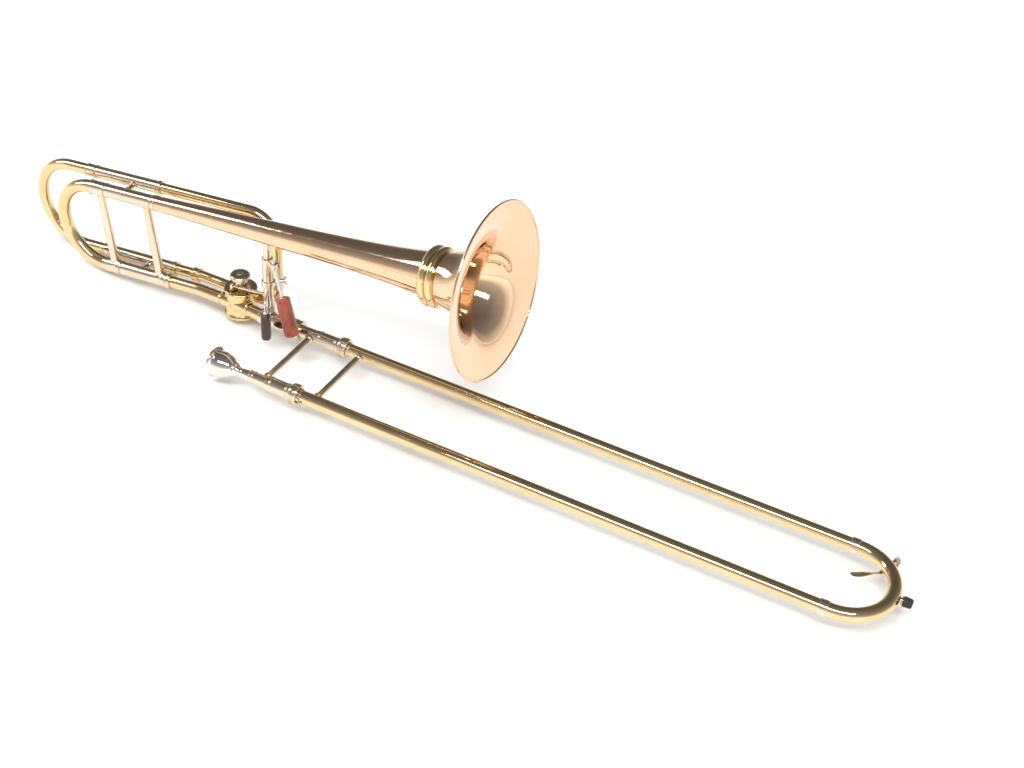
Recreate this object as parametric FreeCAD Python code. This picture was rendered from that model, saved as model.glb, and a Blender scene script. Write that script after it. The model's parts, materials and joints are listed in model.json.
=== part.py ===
import FreeCAD
import Part
import math
import os

Vector = FreeCAD.Vector

# A tenor trombone with an open-wrap F attachment and a screw-on bell flare.
# Millimetres. X runs along the hand slide towards its bow, Y from the mouthpiece
# side to the bell side, Z up from the plane of the slide.  While it is being drawn,
# the model's zero is the mouth of the near cork barrel; seat() moves it at the end.

AXIS_X = Vector(1, 0, 0)
AXIS_Y = Vector(0, 1, 0)
AXIS_Z = Vector(0, 0, 1)

# ---------------------------------------------------------------- hand slide
slide_spacing = 105.5          # between the two parallel slide tubes
slide_length = 644.0           # barrel mouth to the bow ferrules
inner_tube_radius = 7.25
inner_tube_wall = 0.40
stocking_swell = 0.08          # last stretch of each inner tube, over its radius
stocking_length = 120.0
slide_clearance = 0.07         # stocking to outer tube
outer_tube_wall = 0.55
inner_tube_setback = 9.0       # inner tubes stop this far before the ferrules
spring_room = 9.0              # between cork and outer tube when closed
end_ring_width = 2.6
end_ring_height = 1.0

barrel_length = 46.0
barrel_wall = 0.60
barrel_clearance = 0.45        # outer tube to cork barrel
barrel_plate = 3.0
cork_length = 6.0
spring_wire = 0.35
spring_turns = 5
barrel_ring_width = 12.3
barrel_ring_height = 1.75
lock_clearance = 0.08          # lock ring on its barrel
lock_hook_reach = 6.4

slide_brace_radius = 4.1
slide_brace_wall = 0.8
inner_brace_gap = 5.8          # behind the cork barrels
outer_brace_station = 19.0
pad_height = 1.0
pad_radius = 8.5               # foot plates of the bell section's braces
slide_pad_radius = 5.4         # foot plates of the slide braces

bow_tube_step = 0.35           # bow tube over the outer tube, in radius
bow_tube_wall = 0.60
bow_lead = 1.0                 # straight stretch from ferrule to half circle
ferrule_length = 10.0
ferrule_height = 0.9

bumper_radius = 5.9
bumper_length = 10.5
bumper_stem_radius = 3.0
bumper_stem_length = 2.6

# ---------------------------------------------------------------- water key
key_angle = 53.0               # place of the key round the bow, from the X axis
nipple_radius = 2.6
nipple_bore = 1.2
nipple_height = 4.6
key_cork_thickness = 2.6
key_cup_radius = 4.2
key_bar_thickness = 1.5
key_bar_width = 5.0
key_leaf_length = 36.0
key_leaf_width = 9.0
key_pin_radius = 0.9
key_post_thickness = 1.4
key_hinge_gap = 3.4            # hinge pin below the bow tube

# ---------------------------------------------------------------- mouthpiece side
receiver_length = 24.5
receiver_wall = 0.80           # over the shank at the mouth
receiver_step = 0.25           # under the inner tube at the barrel, at most
shank_mouth_radius = 6.20      # at the mouth of the receiver
shank_tip_radius = 5.60
shank_depth = 22.0
shank_clearance = 0.05
mouthpiece_reach = 53.5        # receiver mouth to the face of the rim
rim_radius = 19.2
cup_rim_bore = 12.8
throat_radius = 3.4
leadpipe_length = 190.0
leadpipe_wall = 0.35

# ---------------------------------------------------------------- slide joint
tenon_length = 58.0            # behind the far cork barrel
tenon_height = 0.95            # over the inner tube
tenon_clearance = 0.06
tenon_collar_height = 2.2
tenon_collar_width = 2.4
tenon_collar_station = 7.0     # ahead of the receiver's front
slide_receiver_gap = 34.0      # back of the far cork barrel to the receiver
slide_receiver_length = 48.0
slide_receiver_wall = 1.74
thread_length = 9.0
thread_height = 0.6
nut_clearance = 0.25
nut_wall = 1.9
nut_length = 19.0
nut_ribs = 24

# ---------------------------------------------------------------- bell
bell_rise = 27.5               # lower leg's line above the slide plane, over the barrel mouth
bell_tilt = 6.05               # degrees, rising towards the rim
rim_station = 196.6            # stations are distances along the bell axis
ring_station = 122.0
rim_outer_radius = 105.0
ring_bell_radius = 30.0
horn_end = 203.6               # where the horn curve would run to infinity
flare_power = 0.51
tail_start = -285.0
tail_start_step = 1.36         # tail's small end over the tuning leg, in radius
tail_join_station = -100.0     # the horn curve proper starts here
bell_wall = 0.7
rim_bead = 1.5
ring_height = 6.3              # screw ring over the bell
ring_width = 9.6
ring_gap = 0.3
screw_height = 3.0             # thread over the bell
screw_length = 5.0
screw_clearance = 0.10

# ---------------------------------------------------------------- main tuning slide
leg_drop = 114.4               # upper to lower leg
tuning_bow_station = -385.0
bow_swell = 0.26               # both tuning bows over their running legs, in radius
tuning_tube_wall = 0.6
tuning_leg_radius = 7.94
sleeve_clearance = 0.06
sleeve_wall = 0.9
sleeve_front = -285.0
sleeve_back = -359.0
tuning_leg_end = -291.0
tuning_ferrule_length = 24.0
tuning_brace_station = -371.0
bell_brace_station = -298.0
brace_radius = 5.5
brace_wall = 0.8
lower_leg_radius = 7.6
lower_leg_wall = 0.6
lower_leg_bend = 120.0
sleeve_joint_gap = 0.6         # sleeve to the tuning bow's ferrule
band_length = 6.0
band_height = 0.8

# ---------------------------------------------------------------- rotary valve
valve_station = -168.0
valve_offset = 13.0            # rotor axis beyond the bell plane
valve_level = 3.5              # height of the ports
casing_radius = 20.0
casing_wall = 2.4
rotor_clearance = 0.05
rotor_half_height = 13.5
plate_thickness = 3.6
cap_height = 3.4
cap_lip = 1.2
port_radius = 6.3
port_stop = 2.2                # port tubes stop this far from the axis plane
spindle_radius = 4.0
spindle_clearance = 0.05
stop_arm_radius = 12.5         # rotor axis to the link's ball
stop_arm_rest = -110.0         # degrees about Z
valve_turn = 90.0
arm_thickness = 3.0
arm_width = 6.0
stop_cork_radius = 2.2
stop_cork_ring = 10.6          # rotor axis to each stop cork
stop_cork_lead = 34.0          # degrees beyond the stop arm's two ends
arm_hub_radius = 6.0
knob_radius = 12.4
knob_height = 5.3
knob_neck_radius = 6.5
knob_drum_radius = 9.5

# ---------------------------------------------------------------- F tubing
f_plane = 29.8                 # F loop beyond the bell plane
f_upper_rise = 2.9             # upper leg above the bell axis
f_leg_extra = 4.4              # F legs further apart than the main legs
f_bow_station = -443.8
f_tube_wall = 0.6
f_leg_radius = 7.14
f_sleeve_front = -300.0
f_sleeve_back = -398.0
f_leg_end = -306.0
f_ferrule_length = 14.0
f_turn_station = -121.0        # where the return tube drops, along X
f_upper_bend = 35.0
f_lower_bend = 28.0
f_small_radius = 7.0
f_leg_straight = 50.0          # lower leg before its first bend
f_leg_level = 35.0             # level stretch up to the valve's axis
f_leg_bend = 90.0
f_joint_station = 33.0         # ferrule on the lower leg, from its sleeve
f_joint_length = 10.0
f_strut_radius = 3.2

# ---------------------------------------------------------------- strut and trigger
strut_station = -115.5
strut_radius = 4.9
trigger_clearance = 0.08
hub_wall = 1.2
hub_bottom = 22.0
hub_top = 51.5
trigger_arm_radius = 16.0      # strut axis to the link's far ball
trigger_arm_rest = 145.0       # degrees about Z
paddle_reach = 27.6
paddle_angle = -65.0
paddle_top = 28.5
paddle_length = 40.0
paddle_width = 14.5
paddle_thickness = 11.0
stem_radius = 1.5
stem_rise = 16.0               # stem's bend above the paddle
stud_radius = 1.5
link_radius = 1.35
housing_radius = 2.9
housing_height = 4.0
link_gap = 0.35

# ---------------------------------------------------------------- hand rest
clamp_gap = 0.5                # above the trigger's hub
clamp_height = 40.0
clamp_radius = 6.6
clamp_collar_height = 7.0
clamp_collar_radius = 8.2
rest_rod_radius = 2.2
rest_rod_top = Vector(-100.2, -8.0, 90.4)       # from the bell plane
rest_grip_bottom = Vector(-67.4, -22.0, 7.0)
rest_grip_length = 50.0
rest_grip_radius = 9.0
screw_angle = 45.0
screw_stem = 1.4
screw_reach = 21.0
thumb_radius = 4.6
thumb_thickness = 2.4

# ---------------------------------------------------------------- worked-out sizes
stocking_radius = inner_tube_radius + stocking_swell
outer_bore = stocking_radius + slide_clearance
outer_tube_radius = outer_bore + outer_tube_wall
barrel_bore = outer_tube_radius + barrel_clearance
barrel_radius = barrel_bore + barrel_wall
bow_tube_radius = outer_tube_radius + bow_tube_step
receiver_radius = max(shank_mouth_radius + receiver_wall, inner_tube_radius - receiver_step)
outer_tube_entry = barrel_length - barrel_plate - cork_length - spring_room
inner_brace_station = -barrel_length - inner_brace_gap
tenon_radius = inner_tube_radius + tenon_height
tenon_collar_radius = tenon_radius + tenon_collar_height
slide_receiver_radius = tenon_radius + tenon_clearance + slide_receiver_wall
slide_receiver_front = -barrel_length - slide_receiver_gap
tenon_collar_back = slide_receiver_front + tenon_collar_station
tenon_collar_front = tenon_collar_back + tenon_collar_width
inner_tube_end = slide_length - inner_tube_setback
bow_start = slide_length + ferrule_length / 2
bow_centre_x = slide_length + ferrule_length + bow_lead
bow_radius = slide_spacing / 2
tilt = math.radians(bell_tilt)
bell_dir = Vector(math.cos(tilt), 0, math.sin(tilt))
bell_up = Vector(-math.sin(tilt), 0, math.cos(tilt))
bell_height = leg_drop + bell_rise
f_leg_drop = leg_drop + f_leg_extra
ring_outer_radius = ring_bell_radius + ring_height
screw_radius = ring_bell_radius + screw_height
tail_start_radius = tuning_leg_radius + tail_start_step
tuning_tube_radius = tuning_leg_radius + bow_swell
f_tube_radius = f_leg_radius + bow_swell
tuning_sleeve_bore = tuning_leg_radius + sleeve_clearance
tuning_sleeve_radius = tuning_sleeve_bore + sleeve_wall
f_sleeve_bore = f_leg_radius + sleeve_clearance
f_sleeve_radius = f_sleeve_bore + sleeve_wall
receiver_mouth_x = -barrel_length - receiver_length
valve_axis = Vector(valve_station, slide_spacing + valve_offset, 0)
casing_bore = casing_radius - casing_wall
rotor_radius = casing_bore - rotor_clearance
rotor_bottom = valve_level - rotor_half_height
rotor_top = valve_level + rotor_half_height
plate_bottom = rotor_top + 0.2
plate_top = plate_bottom + plate_thickness
casing_bottom = rotor_bottom - 0.2 - plate_thickness
arm_bottom = plate_top + 1.6
arm_top = arm_bottom + arm_thickness
housing_bottom = arm_top + link_gap
housing_top = housing_bottom + housing_height
strut_axis = Vector(strut_station, slide_spacing, 0)
key_turn = math.radians(key_angle)
key_out = Vector(math.cos(key_turn), math.sin(key_turn), 0)
key_side = AXIS_Z.cross(key_out)
key_pivot_drop = bow_tube_radius + key_hinge_gap
clamp_bottom = hub_top + clamp_gap


# ---------------------------------------------------------------- helpers
def unit(vector):
    return Vector(vector) / vector.Length


def around(angle, radius=1.0):
    """Horizontal vector at an angle in degrees about Z."""
    turn = math.radians(angle)
    return Vector(radius * math.cos(turn), radius * math.sin(turn), 0)


def bell_point(station, rise=0.0, beyond=0.0):
    """Point at a station along the bell axis, raised across it and moved along Y."""
    origin = Vector(0, slide_spacing + beyond, bell_height)
    return origin + bell_dir * station + bell_up * rise


def rod(radius, start, end):
    return Part.makeCylinder(radius, (end - start).Length, start, end - start)


def pipe(outer, inner, start, end):
    return rod(outer, start, end).cut(rod(inner, start, end))


def lathe(start, steps, base, axis):
    """Turned solid: a step is (along, radius) or an arc (mid along, mid radius, along, radius)."""
    edges = []
    here = Vector(start[0], start[1], 0)
    for step in list(steps) + [start]:
        end = Vector(step[-2], step[-1], 0)
        if len(step) == 4:
            edges.append(Part.Arc(here, Vector(step[0], step[1], 0), end).toShape())
        elif (end - here).Length > 1e-6:
            edges.append(Part.makeLine(here, end))
        here = end
    solid = Part.Face(Part.Wire(edges)).revolve(Vector(), AXIS_X, 360)
    solid.Placement = FreeCAD.Placement(base, FreeCAD.Rotation(AXIS_X, axis))
    return solid


def beaded_sleeve(outer, inner, start, end, bead=0.5):
    """Tube with a half-round bead at each end, as on a ferrule."""
    length = (end - start).Length
    steps = [(0, outer),
             (bead, outer + bead, 2 * bead, outer),
             (length - 2 * bead, outer),
             (length - bead, outer + bead, length, outer),
             (length, inner)]
    return lathe((0, inner), steps, start, end - start)


def round_ring(outer, inner, start, end, edge=0.6):
    """Ring with rounded outer edges."""
    length = (end - start).Length
    nip = edge * 0.3
    steps = [(0, outer - edge),
             (nip, outer - nip, edge, outer),
             (length - edge, outer),
             (length - nip, outer - nip, length, outer - edge),
             (length, inner)]
    return lathe((0, inner), steps, start, end - start)


def disc_face(outer, inner, centre, normal):
    rim = Part.Face(Part.Wire(Part.makeCircle(outer, centre, normal)))
    hole = Part.Face(Part.Wire(Part.makeCircle(inner, centre, normal)))
    return rim.cut(hole).Faces[0]


def bent_pipe(points, bends, outer, inner):
    """Pipe along straight runs joined by tangent arcs, one bend radius per inner point."""
    pieces = []
    here = points[0]
    for index, bend in enumerate(bends):
        corner = points[index + 1]
        before = unit(corner - points[index])
        after = unit(points[index + 2] - corner)
        turn = before.getAngle(after)
        reach = bend * math.tan(turn / 2)
        arc_start = corner - before * reach
        if (arc_start - here).Length > 0.01:
            pieces.append(disc_face(outer, inner, here, before).extrude(arc_start - here))
        pivot_dir = unit(after - before * before.dot(after))
        pivot = arc_start + pivot_dir * bend
        face = disc_face(outer, inner, arc_start, before)
        pieces.append(face.revolve(pivot, before.cross(after), math.degrees(turn)))
        here = corner + after * reach
    last = unit(points[-1] - points[-2])
    if (points[-1] - here).Length > 0.01:
        pieces.append(disc_face(outer, inner, here, last).extrude(points[-1] - here))
    if len(pieces) == 1:
        return pieces[0]
    return pieces[0].multiFuse(pieces[1:]).removeSplitter()


def half_circle_points(start, end, outward):
    """Corner points of a U bend between two parallel tube ends."""
    radius = (end - start).Length / 2
    return [start, start + outward * radius, end + outward * radius, end]


def group(solids):
    return Part.makeCompound([solid for shape in solids for solid in shape.Solids])


def slab(corners, thickness_dir):
    """Flat plate: polygon corners swept along a vector."""
    outline = Part.makePolygon(list(corners) + [corners[0]])
    return Part.Face(outline).extrude(thickness_dir)


def saddle_pad(tube_dir, tube_radius, foot, towards, size):
    """Round foot plate of a brace, bent to the tube it is soldered on."""
    shell = pipe(tube_radius + pad_height, tube_radius, foot - tube_dir * size * 1.5,
                 foot + tube_dir * size * 1.5)
    plug = rod(size, foot, foot + towards * (tube_radius + pad_height + 1))
    return shell.common(plug)


def brace(feet, tube_dir, tube_radii, stay_radius, wall, pad_size):
    """Hollow stay between two parallel tubes with a bent foot plate on each."""
    foot_a, foot_b = feet
    radius_a, radius_b = tube_radii
    towards = unit(foot_b - foot_a)
    start = foot_a + towards * (radius_a * 0.8)
    end = foot_b - towards * (radius_b * 0.8)
    stay = pipe(stay_radius, stay_radius - wall, start, end)
    reach = tube_dir * stay_radius * 2
    for foot, radius in ((foot_a, radius_a), (foot_b, radius_b)):
        stay = stay.cut(rod(radius, foot - reach, foot + reach))
    pad_a = saddle_pad(tube_dir, radius_a, foot_a, towards, pad_size)
    pad_b = saddle_pad(tube_dir, radius_b, foot_b, towards * -1, pad_size)
    return stay.fuse([pad_a, pad_b]).removeSplitter()


def slide_sides():
    """Origins of the near and the far slide tube axes."""
    return [Vector(0, 0, 0), Vector(0, slide_spacing, 0)]


def at_x(side, x):
    return side + Vector(x, 0, 0)


# ---------------------------------------------------------------- inner slide
def inner_slide_tubes():
    tubes = []
    step = inner_tube_end - stocking_length
    for side, back in zip(slide_sides(), (-barrel_length, -barrel_length - tenon_length)):
        steps = [(back, inner_tube_radius),
                 (step, inner_tube_radius),
                 (step + 1.0, stocking_radius),
                 (inner_tube_end, stocking_radius),
                 (inner_tube_end, inner_tube_radius - inner_tube_wall)]
        tubes.append(lathe((back, inner_tube_radius - inner_tube_wall), steps, side, AXIS_X))
    return group(tubes)


def cork_barrel(side):
    """Sleeve open to the front, closed at the back by a plate on the inner tube."""
    back = -barrel_length
    steps = [(back, barrel_radius - 0.8),
             (back + 0.3, barrel_radius - 0.3, back + 0.8, barrel_radius),
             (0, barrel_radius),
             (0, barrel_bore),
             (back + barrel_plate, barrel_bore),
             (back + barrel_plate, inner_tube_radius)]
    return lathe((back, inner_tube_radius), steps, side, AXIS_X)


def barrel_corks():
    start = barrel_plate - barrel_length
    rings = [pipe(barrel_bore - 0.1, inner_tube_radius, at_x(side, start),
                  at_x(side, start + cork_length)) for side in slide_sides()]
    return group(rings)


def barrel_springs():
    """Closing springs, drawn as their turns between the cork and the outer tube."""
    turns = []
    start = barrel_plate - barrel_length + cork_length
    gap = -outer_tube_entry - start
    pitch = gap / spring_turns
    middle = (barrel_bore + inner_tube_radius) / 2
    for side in slide_sides():
        for turn in range(spring_turns):
            centre = at_x(side, start + pitch * (turn + 0.5))
            turns.append(Part.makeTorus(middle, spring_wire, centre, AXIS_X))
    return group(turns)


def far_barrel_ring():
    side = slide_sides()[1]
    return beaded_sleeve(barrel_radius + barrel_ring_height - 0.6, barrel_radius,
                         at_x(side, -barrel_ring_width), side, 0.6)


def slide_lock_ring():
    """Turning ring on the near barrel with a hook that holds the outer slide shut."""
    bore = barrel_radius + lock_clearance
    outer = barrel_radius + barrel_ring_height
    ring = beaded_sleeve(outer - 0.6, bore, Vector(-barrel_ring_width, 0, 0), Vector(-0.4, 0, 0), 0.6)
    arm = sector(bore + 0.3, outer, -1.0, lock_hook_reach, 200, 218)
    hook = sector(bore + 0.3, outer, lock_hook_reach - 1.6, lock_hook_reach, 182, 218)
    return ring.fuse([arm, hook]).removeSplitter()


def sector(inner, outer, x_start, x_end, angle_start, angle_end):
    """Part of a ring about the near slide tube, angles from +Y towards +Z."""
    corners = [Vector(x_start, inner, 0), Vector(x_end, inner, 0),
               Vector(x_end, outer, 0), Vector(x_start, outer, 0)]
    face = Part.Face(Part.makePolygon(corners + [corners[0]]))
    face.rotate(Vector(), AXIS_X, angle_start)
    return face.revolve(Vector(), AXIS_X, angle_end - angle_start)


def inner_slide_brace():
    """Stay between the mouthpiece receiver and the tenon, just behind the cork barrels."""
    feet = [at_x(side, inner_brace_station) for side in slide_sides()]
    return brace(feet, AXIS_X, (receiver_radius, tenon_radius),
                 slide_brace_radius, slide_brace_wall, slide_pad_radius)


def mouthpiece_receiver():
    mouth = receiver_mouth_x
    bore_mouth = shank_mouth_radius + shank_clearance
    bore_tip = shank_tip_radius + shank_clearance
    steps = [(mouth, receiver_radius),
             (mouth + 0.6, receiver_radius + 0.6, mouth + 1.2, receiver_radius),
             (mouth + 5.0, receiver_radius),
             (mouth + 5.6, receiver_radius + 0.6, mouth + 6.2, receiver_radius),
             (-barrel_length, receiver_radius),
             (-barrel_length, bore_tip),
             (mouth + shank_depth, bore_tip)]
    return lathe((mouth, bore_mouth), steps, Vector(), AXIS_X)


def leadpipe():
    """Tapered tube inside the near inner tube, carrying the air from the mouthpiece."""
    start = -barrel_length
    outer = inner_tube_radius - inner_tube_wall
    return pipe(outer, outer - leadpipe_wall, Vector(start, 0, 0), Vector(start + leadpipe_length, 0, 0))


def slide_tenon():
    """Plug on the far inner tube that seats in the bell section's receiver."""
    front = -barrel_length
    back = front - tenon_length
    steps = [(back, tenon_radius),
             (tenon_collar_back, tenon_radius),
             (tenon_collar_back, tenon_collar_radius),
             (tenon_collar_front, tenon_collar_radius),
             (tenon_collar_front, tenon_radius),
             (front, tenon_radius),
             (front, inner_tube_radius)]
    return lathe((back, inner_tube_radius), steps, slide_sides()[1], AXIS_X)


def slide_lock_nut():
    """Ribbed nut that pulls the tenon into the receiver."""
    thread = slide_receiver_radius + thread_height
    bore = max(thread, tenon_collar_radius) + nut_clearance
    outer = bore + nut_wall
    front = tenon_collar_front + nut_clearance
    back = front - nut_length + 2.5
    lip = tenon_radius + nut_clearance
    steps = [(back, outer - 0.8),
             (back + 0.8, outer),
             (front + 1.7, outer),
             (front + 2.5, outer - 0.8),
             (front + 2.5, lip),
             (front, lip),
             (front, bore)]
    nut = lathe((back, bore), steps, slide_sides()[1], AXIS_X)
    middle = (front + back) / 2
    for rib in range(nut_ribs):
        turn = 2 * math.pi * rib / nut_ribs
        offset = Vector(0, math.cos(turn), math.sin(turn)) * (outer + 0.35)
        groove = rod(0.9, at_x(slide_sides()[1], middle - 4) + offset,
                     at_x(slide_sides()[1], middle + 4) + offset)
        nut = nut.cut(groove)
    return nut


# ---------------------------------------------------------------- mouthpiece
def mouthpiece():
    """Turned cup mouthpiece, drawn from the face of its rim towards the tip of its shank."""
    face = receiver_mouth_x - mouthpiece_reach
    tip = mouthpiece_reach + shank_depth
    taper = (shank_mouth_radius - shank_tip_radius) / shank_depth
    cup_end = 31.0
    steps = [(0.7, rim_radius - 1.2),
             (2.2, rim_radius, 4.2, rim_radius - 0.9),
             (6.0, rim_radius - 3.2),
             (18.0, rim_radius - 3.6, cup_end, 8.2),
             (cup_end + 1.4, 9.3, cup_end + 2.8, 8.0),
             (38.0, 5.4, 43.0, 5.6),
             (mouthpiece_reach, shank_mouth_radius + taper * 2),
             (mouthpiece_reach, shank_mouth_radius),
             (tip, shank_tip_radius),
             (tip, shank_tip_radius - 1.0),
             (cup_end + 4, throat_radius),
             (26.0, throat_radius),
             (17.0, 10.6, 3.4, cup_rim_bore)]
    start = (0.0, (cup_rim_bore + rim_radius) / 2)
    steps.append((0.7, cup_rim_bore + 1.2, start[0], start[1]))
    return lathe(start, steps, Vector(face, 0, 0), AXIS_X)


# ---------------------------------------------------------------- outer slide
def outer_slide_tubes():
    return group([pipe(outer_tube_radius, outer_bore, at_x(side, -outer_tube_entry),
                       at_x(side, bow_start)) for side in slide_sides()])


def outer_slide_end_rings():
    """Bead where each outer tube stops against its barrel, with the lock's lug on the near one."""
    rings = []
    for side in slide_sides():
        rings.append(round_ring(outer_tube_radius + end_ring_height, outer_tube_radius,
                                at_x(side, 0.6), at_x(side, 0.6 + end_ring_width), 0.4))
    lug_outer = barrel_radius + barrel_ring_height
    lug = sector(outer_tube_radius + 0.1, lug_outer, 1.0, 3.6, 160, 176)
    rings[0] = rings[0].fuse(lug).removeSplitter()
    return group(rings)


def outer_slide_brace():
    feet = [at_x(side, outer_brace_station) for side in slide_sides()]
    return brace(feet, AXIS_X, (outer_tube_radius, outer_tube_radius),
                 slide_brace_radius, slide_brace_wall, slide_pad_radius)


def slide_bow():
    near, far = slide_sides()
    centre_near = at_x(near, bow_centre_x)
    centre_far = at_x(far, bow_centre_x)
    points = [at_x(near, bow_start)] + half_circle_points(centre_near, centre_far, AXIS_X)[1:3]
    points.append(at_x(far, bow_start))
    bow = bent_pipe(points, [bow_radius, bow_radius], bow_tube_radius, bow_tube_radius - bow_tube_wall)
    return bow.cut(rod(nipple_bore, key_point(0, 0), key_point(20, 0)))


def bow_ferrules():
    ferrules = []
    for side in slide_sides():
        sleeve = beaded_sleeve(bow_tube_radius + ferrule_height, outer_tube_radius,
                               at_x(side, slide_length), at_x(side, slide_length + ferrule_length))
        seat_cut = rod(bow_tube_radius, at_x(side, bow_start), at_x(side, slide_length + ferrule_length))
        ferrules.append(sleeve.cut(seat_cut))
    return group(ferrules)


def bow_curve():
    """Solid ring whose front half is the outside of the bow's half circle."""
    return Part.makeTorus(bow_radius, bow_tube_radius, Vector(bow_centre_x, bow_radius, 0), AXIS_Z)


def bumper_socket():
    apex = Vector(bow_centre_x + bow_radius, bow_radius, 0)
    tip = apex + AXIS_X * (bow_tube_radius + bumper_stem_length)
    foot = rod(bumper_stem_radius, apex, tip).fuse(
        rod(bumper_stem_radius + 1.6, tip - AXIS_X * 1.2, tip)).removeSplitter()
    return foot.cut(bow_curve())


def rubber_bumper():
    apex = Vector(bow_centre_x + bow_radius, bow_radius, 0)
    base = apex + AXIS_X * (bow_tube_radius + bumper_stem_length)
    shoulder = bumper_length * 0.7
    steps = [(0, bumper_radius - 1.0),
             (0.3, bumper_radius - 0.3, 1.0, bumper_radius),
             (shoulder, bumper_radius - 0.4),
             (bumper_length * 0.93, bumper_radius * 0.78, bumper_length, bumper_radius * 0.5),
             (bumper_length, 0)]
    return lathe((0, 0), steps, base, AXIS_X)


# ---------------------------------------------------------------- water key
def key_point(outward, rise, sideways=0.0):
    """Point by the key, measured outwards from the bow tube's own centre line."""
    centre = Vector(bow_centre_x, bow_radius, 0)
    return centre + key_out * (bow_radius + outward) + key_side * sideways + AXIS_Z * rise


def water_key_nipple():
    """Vent stub on the outside of the bow, with the hinge posts under the tube."""
    stub = rod(nipple_radius, key_point(bow_tube_radius - 1.5, 0),
               key_point(bow_tube_radius + nipple_height, 0))
    posts = []
    for sign in (-1, 1):
        near_face = sign * (key_bar_width / 2 + 0.3)
        corners = [key_point(-3.5, -bow_tube_radius + 1.5, near_face),
                   key_point(3.5, -bow_tube_radius + 1.5, near_face),
                   key_point(2.2, -key_pivot_drop - 2.4, near_face),
                   key_point(-2.2, -key_pivot_drop - 2.4, near_face)]
        posts.append(slab(corners, key_side * sign * key_post_thickness))
    pin_way = rod(key_pin_radius, key_point(0, -key_pivot_drop, -8), key_point(0, -key_pivot_drop, 8))
    pieces = [stub.cut(rod(nipple_bore, key_point(0, 0), key_point(20, 0)))] + posts
    return group([piece.cut(bow_curve()).cut(pin_way) for piece in pieces])


def water_key_pin():
    end = key_bar_width / 2 + 0.3 + key_post_thickness
    return rod(key_pin_radius, key_point(0, -key_pivot_drop, -end), key_point(0, -key_pivot_drop, end))


def water_key_lever():
    """Bent bar under the bow: finger leaf inside, pad cup outside."""
    cork_face = bow_tube_radius + nipple_height + 0.1 + key_cork_thickness
    low = -key_pivot_drop
    half = key_bar_thickness / 2
    under = [(-11.0, low + 1.6), (-4.0, low), (4.0, low), (cork_face - 0.6, low + 1.6),
             (cork_face + 1.9, low + 4.5), (cork_face + 1.9, 3.0)]
    upper = [(out - (2 * half if index > 2 else 0), rise + (2 * half if index < 4 else 0.6))
             for index, (out, rise) in enumerate(under)]
    corners = [key_point(out, rise, -key_bar_width / 2) for out, rise in under + upper[::-1]]
    bar = slab(corners, key_side * key_bar_width)
    leaf_root = [(-10.0, low + 1.6 + key_bar_thickness), (-10.0, low + 1.6)]
    tip_rise = low + 1.6 + key_leaf_length * 0.32
    leaf_tip = [(-10.0 - key_leaf_length, tip_rise), (-10.0 - key_leaf_length, tip_rise + key_bar_thickness)]
    leaf = slab([key_point(out, rise, -key_leaf_width / 2) for out, rise in leaf_root + leaf_tip],
                key_side * key_leaf_width)
    cup = rod(key_cup_radius, key_point(cork_face, 0), key_point(cork_face + 1.4, 0))
    knuckle = rod(key_pin_radius + 1.1, key_point(0, low, -key_bar_width / 2),
                  key_point(0, low, key_bar_width / 2))
    lever = bar.fuse([leaf, cup, knuckle]).removeSplitter()
    reach = key_bar_width
    return lever.cut(rod(key_pin_radius + 0.06, key_point(0, low, -reach), key_point(0, low, reach)))


def water_key_cork():
    face = bow_tube_radius + nipple_height + 0.1
    return rod(key_cup_radius - 0.5, key_point(face, 0), key_point(face + key_cork_thickness, 0))


# ---------------------------------------------------------------- bell
def horn_radius(station):
    return ring_bell_radius * ((horn_end - ring_station) / (horn_end - station)) ** flare_power


def horn_station(radius):
    return horn_end - (horn_end - ring_station) * (ring_bell_radius / radius) ** (1 / flare_power)


def horn_normal(station):
    """Outward normal of the horn curve, as (along, radius)."""
    slope = flare_power * horn_radius(station) / (horn_end - station)
    size = math.hypot(1, slope)
    return (-slope / size, 1 / size)


def tail_radius(station):
    if station >= tail_join_station:
        return horn_radius(station)
    share = (station - tail_start) / (tail_join_station - tail_start)
    return tail_start_radius + (horn_radius(tail_join_station) - tail_start_radius) * share


def spline_edge(points):
    curve = Part.BSplineCurve()
    curve.interpolate([Vector(along, radius, 0) for along, radius in points])
    return curve.toShape()


def turned_shell(outer, inner):
    """Thin turned wall between two open curves that run the same way."""
    outer_edge = spline_edge(outer)
    inner_edge = spline_edge(inner)
    first = Part.makeLine(Vector(*inner[0], 0), Vector(*outer[0], 0))
    last = Part.makeLine(Vector(*outer[-1], 0), Vector(*inner[-1], 0))
    wire = Part.Wire([first, outer_edge, last, inner_edge])
    return Part.Face(wire).revolve(Vector(), AXIS_X, 360)


def on_bell_axis(shape):
    shape.Placement = FreeCAD.Placement(bell_point(0), FreeCAD.Rotation(AXIS_X, bell_dir))
    return shape


def bell_tail():
    end = ring_station + screw_length - 1.0
    stations = [tail_start, tail_start * 0.68 + tail_join_station * 0.32,
                tail_start * 0.34 + tail_join_station * 0.66, tail_join_station]
    count = 6
    stations += [tail_join_station + (end - tail_join_station) * step / count
                 for step in range(1, count + 1)]
    outer = [(station, tail_radius(station)) for station in stations]
    inner = [(station, tail_radius(station) - bell_wall) for station in stations]
    return on_bell_axis(turned_shell(outer, inner))


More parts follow.
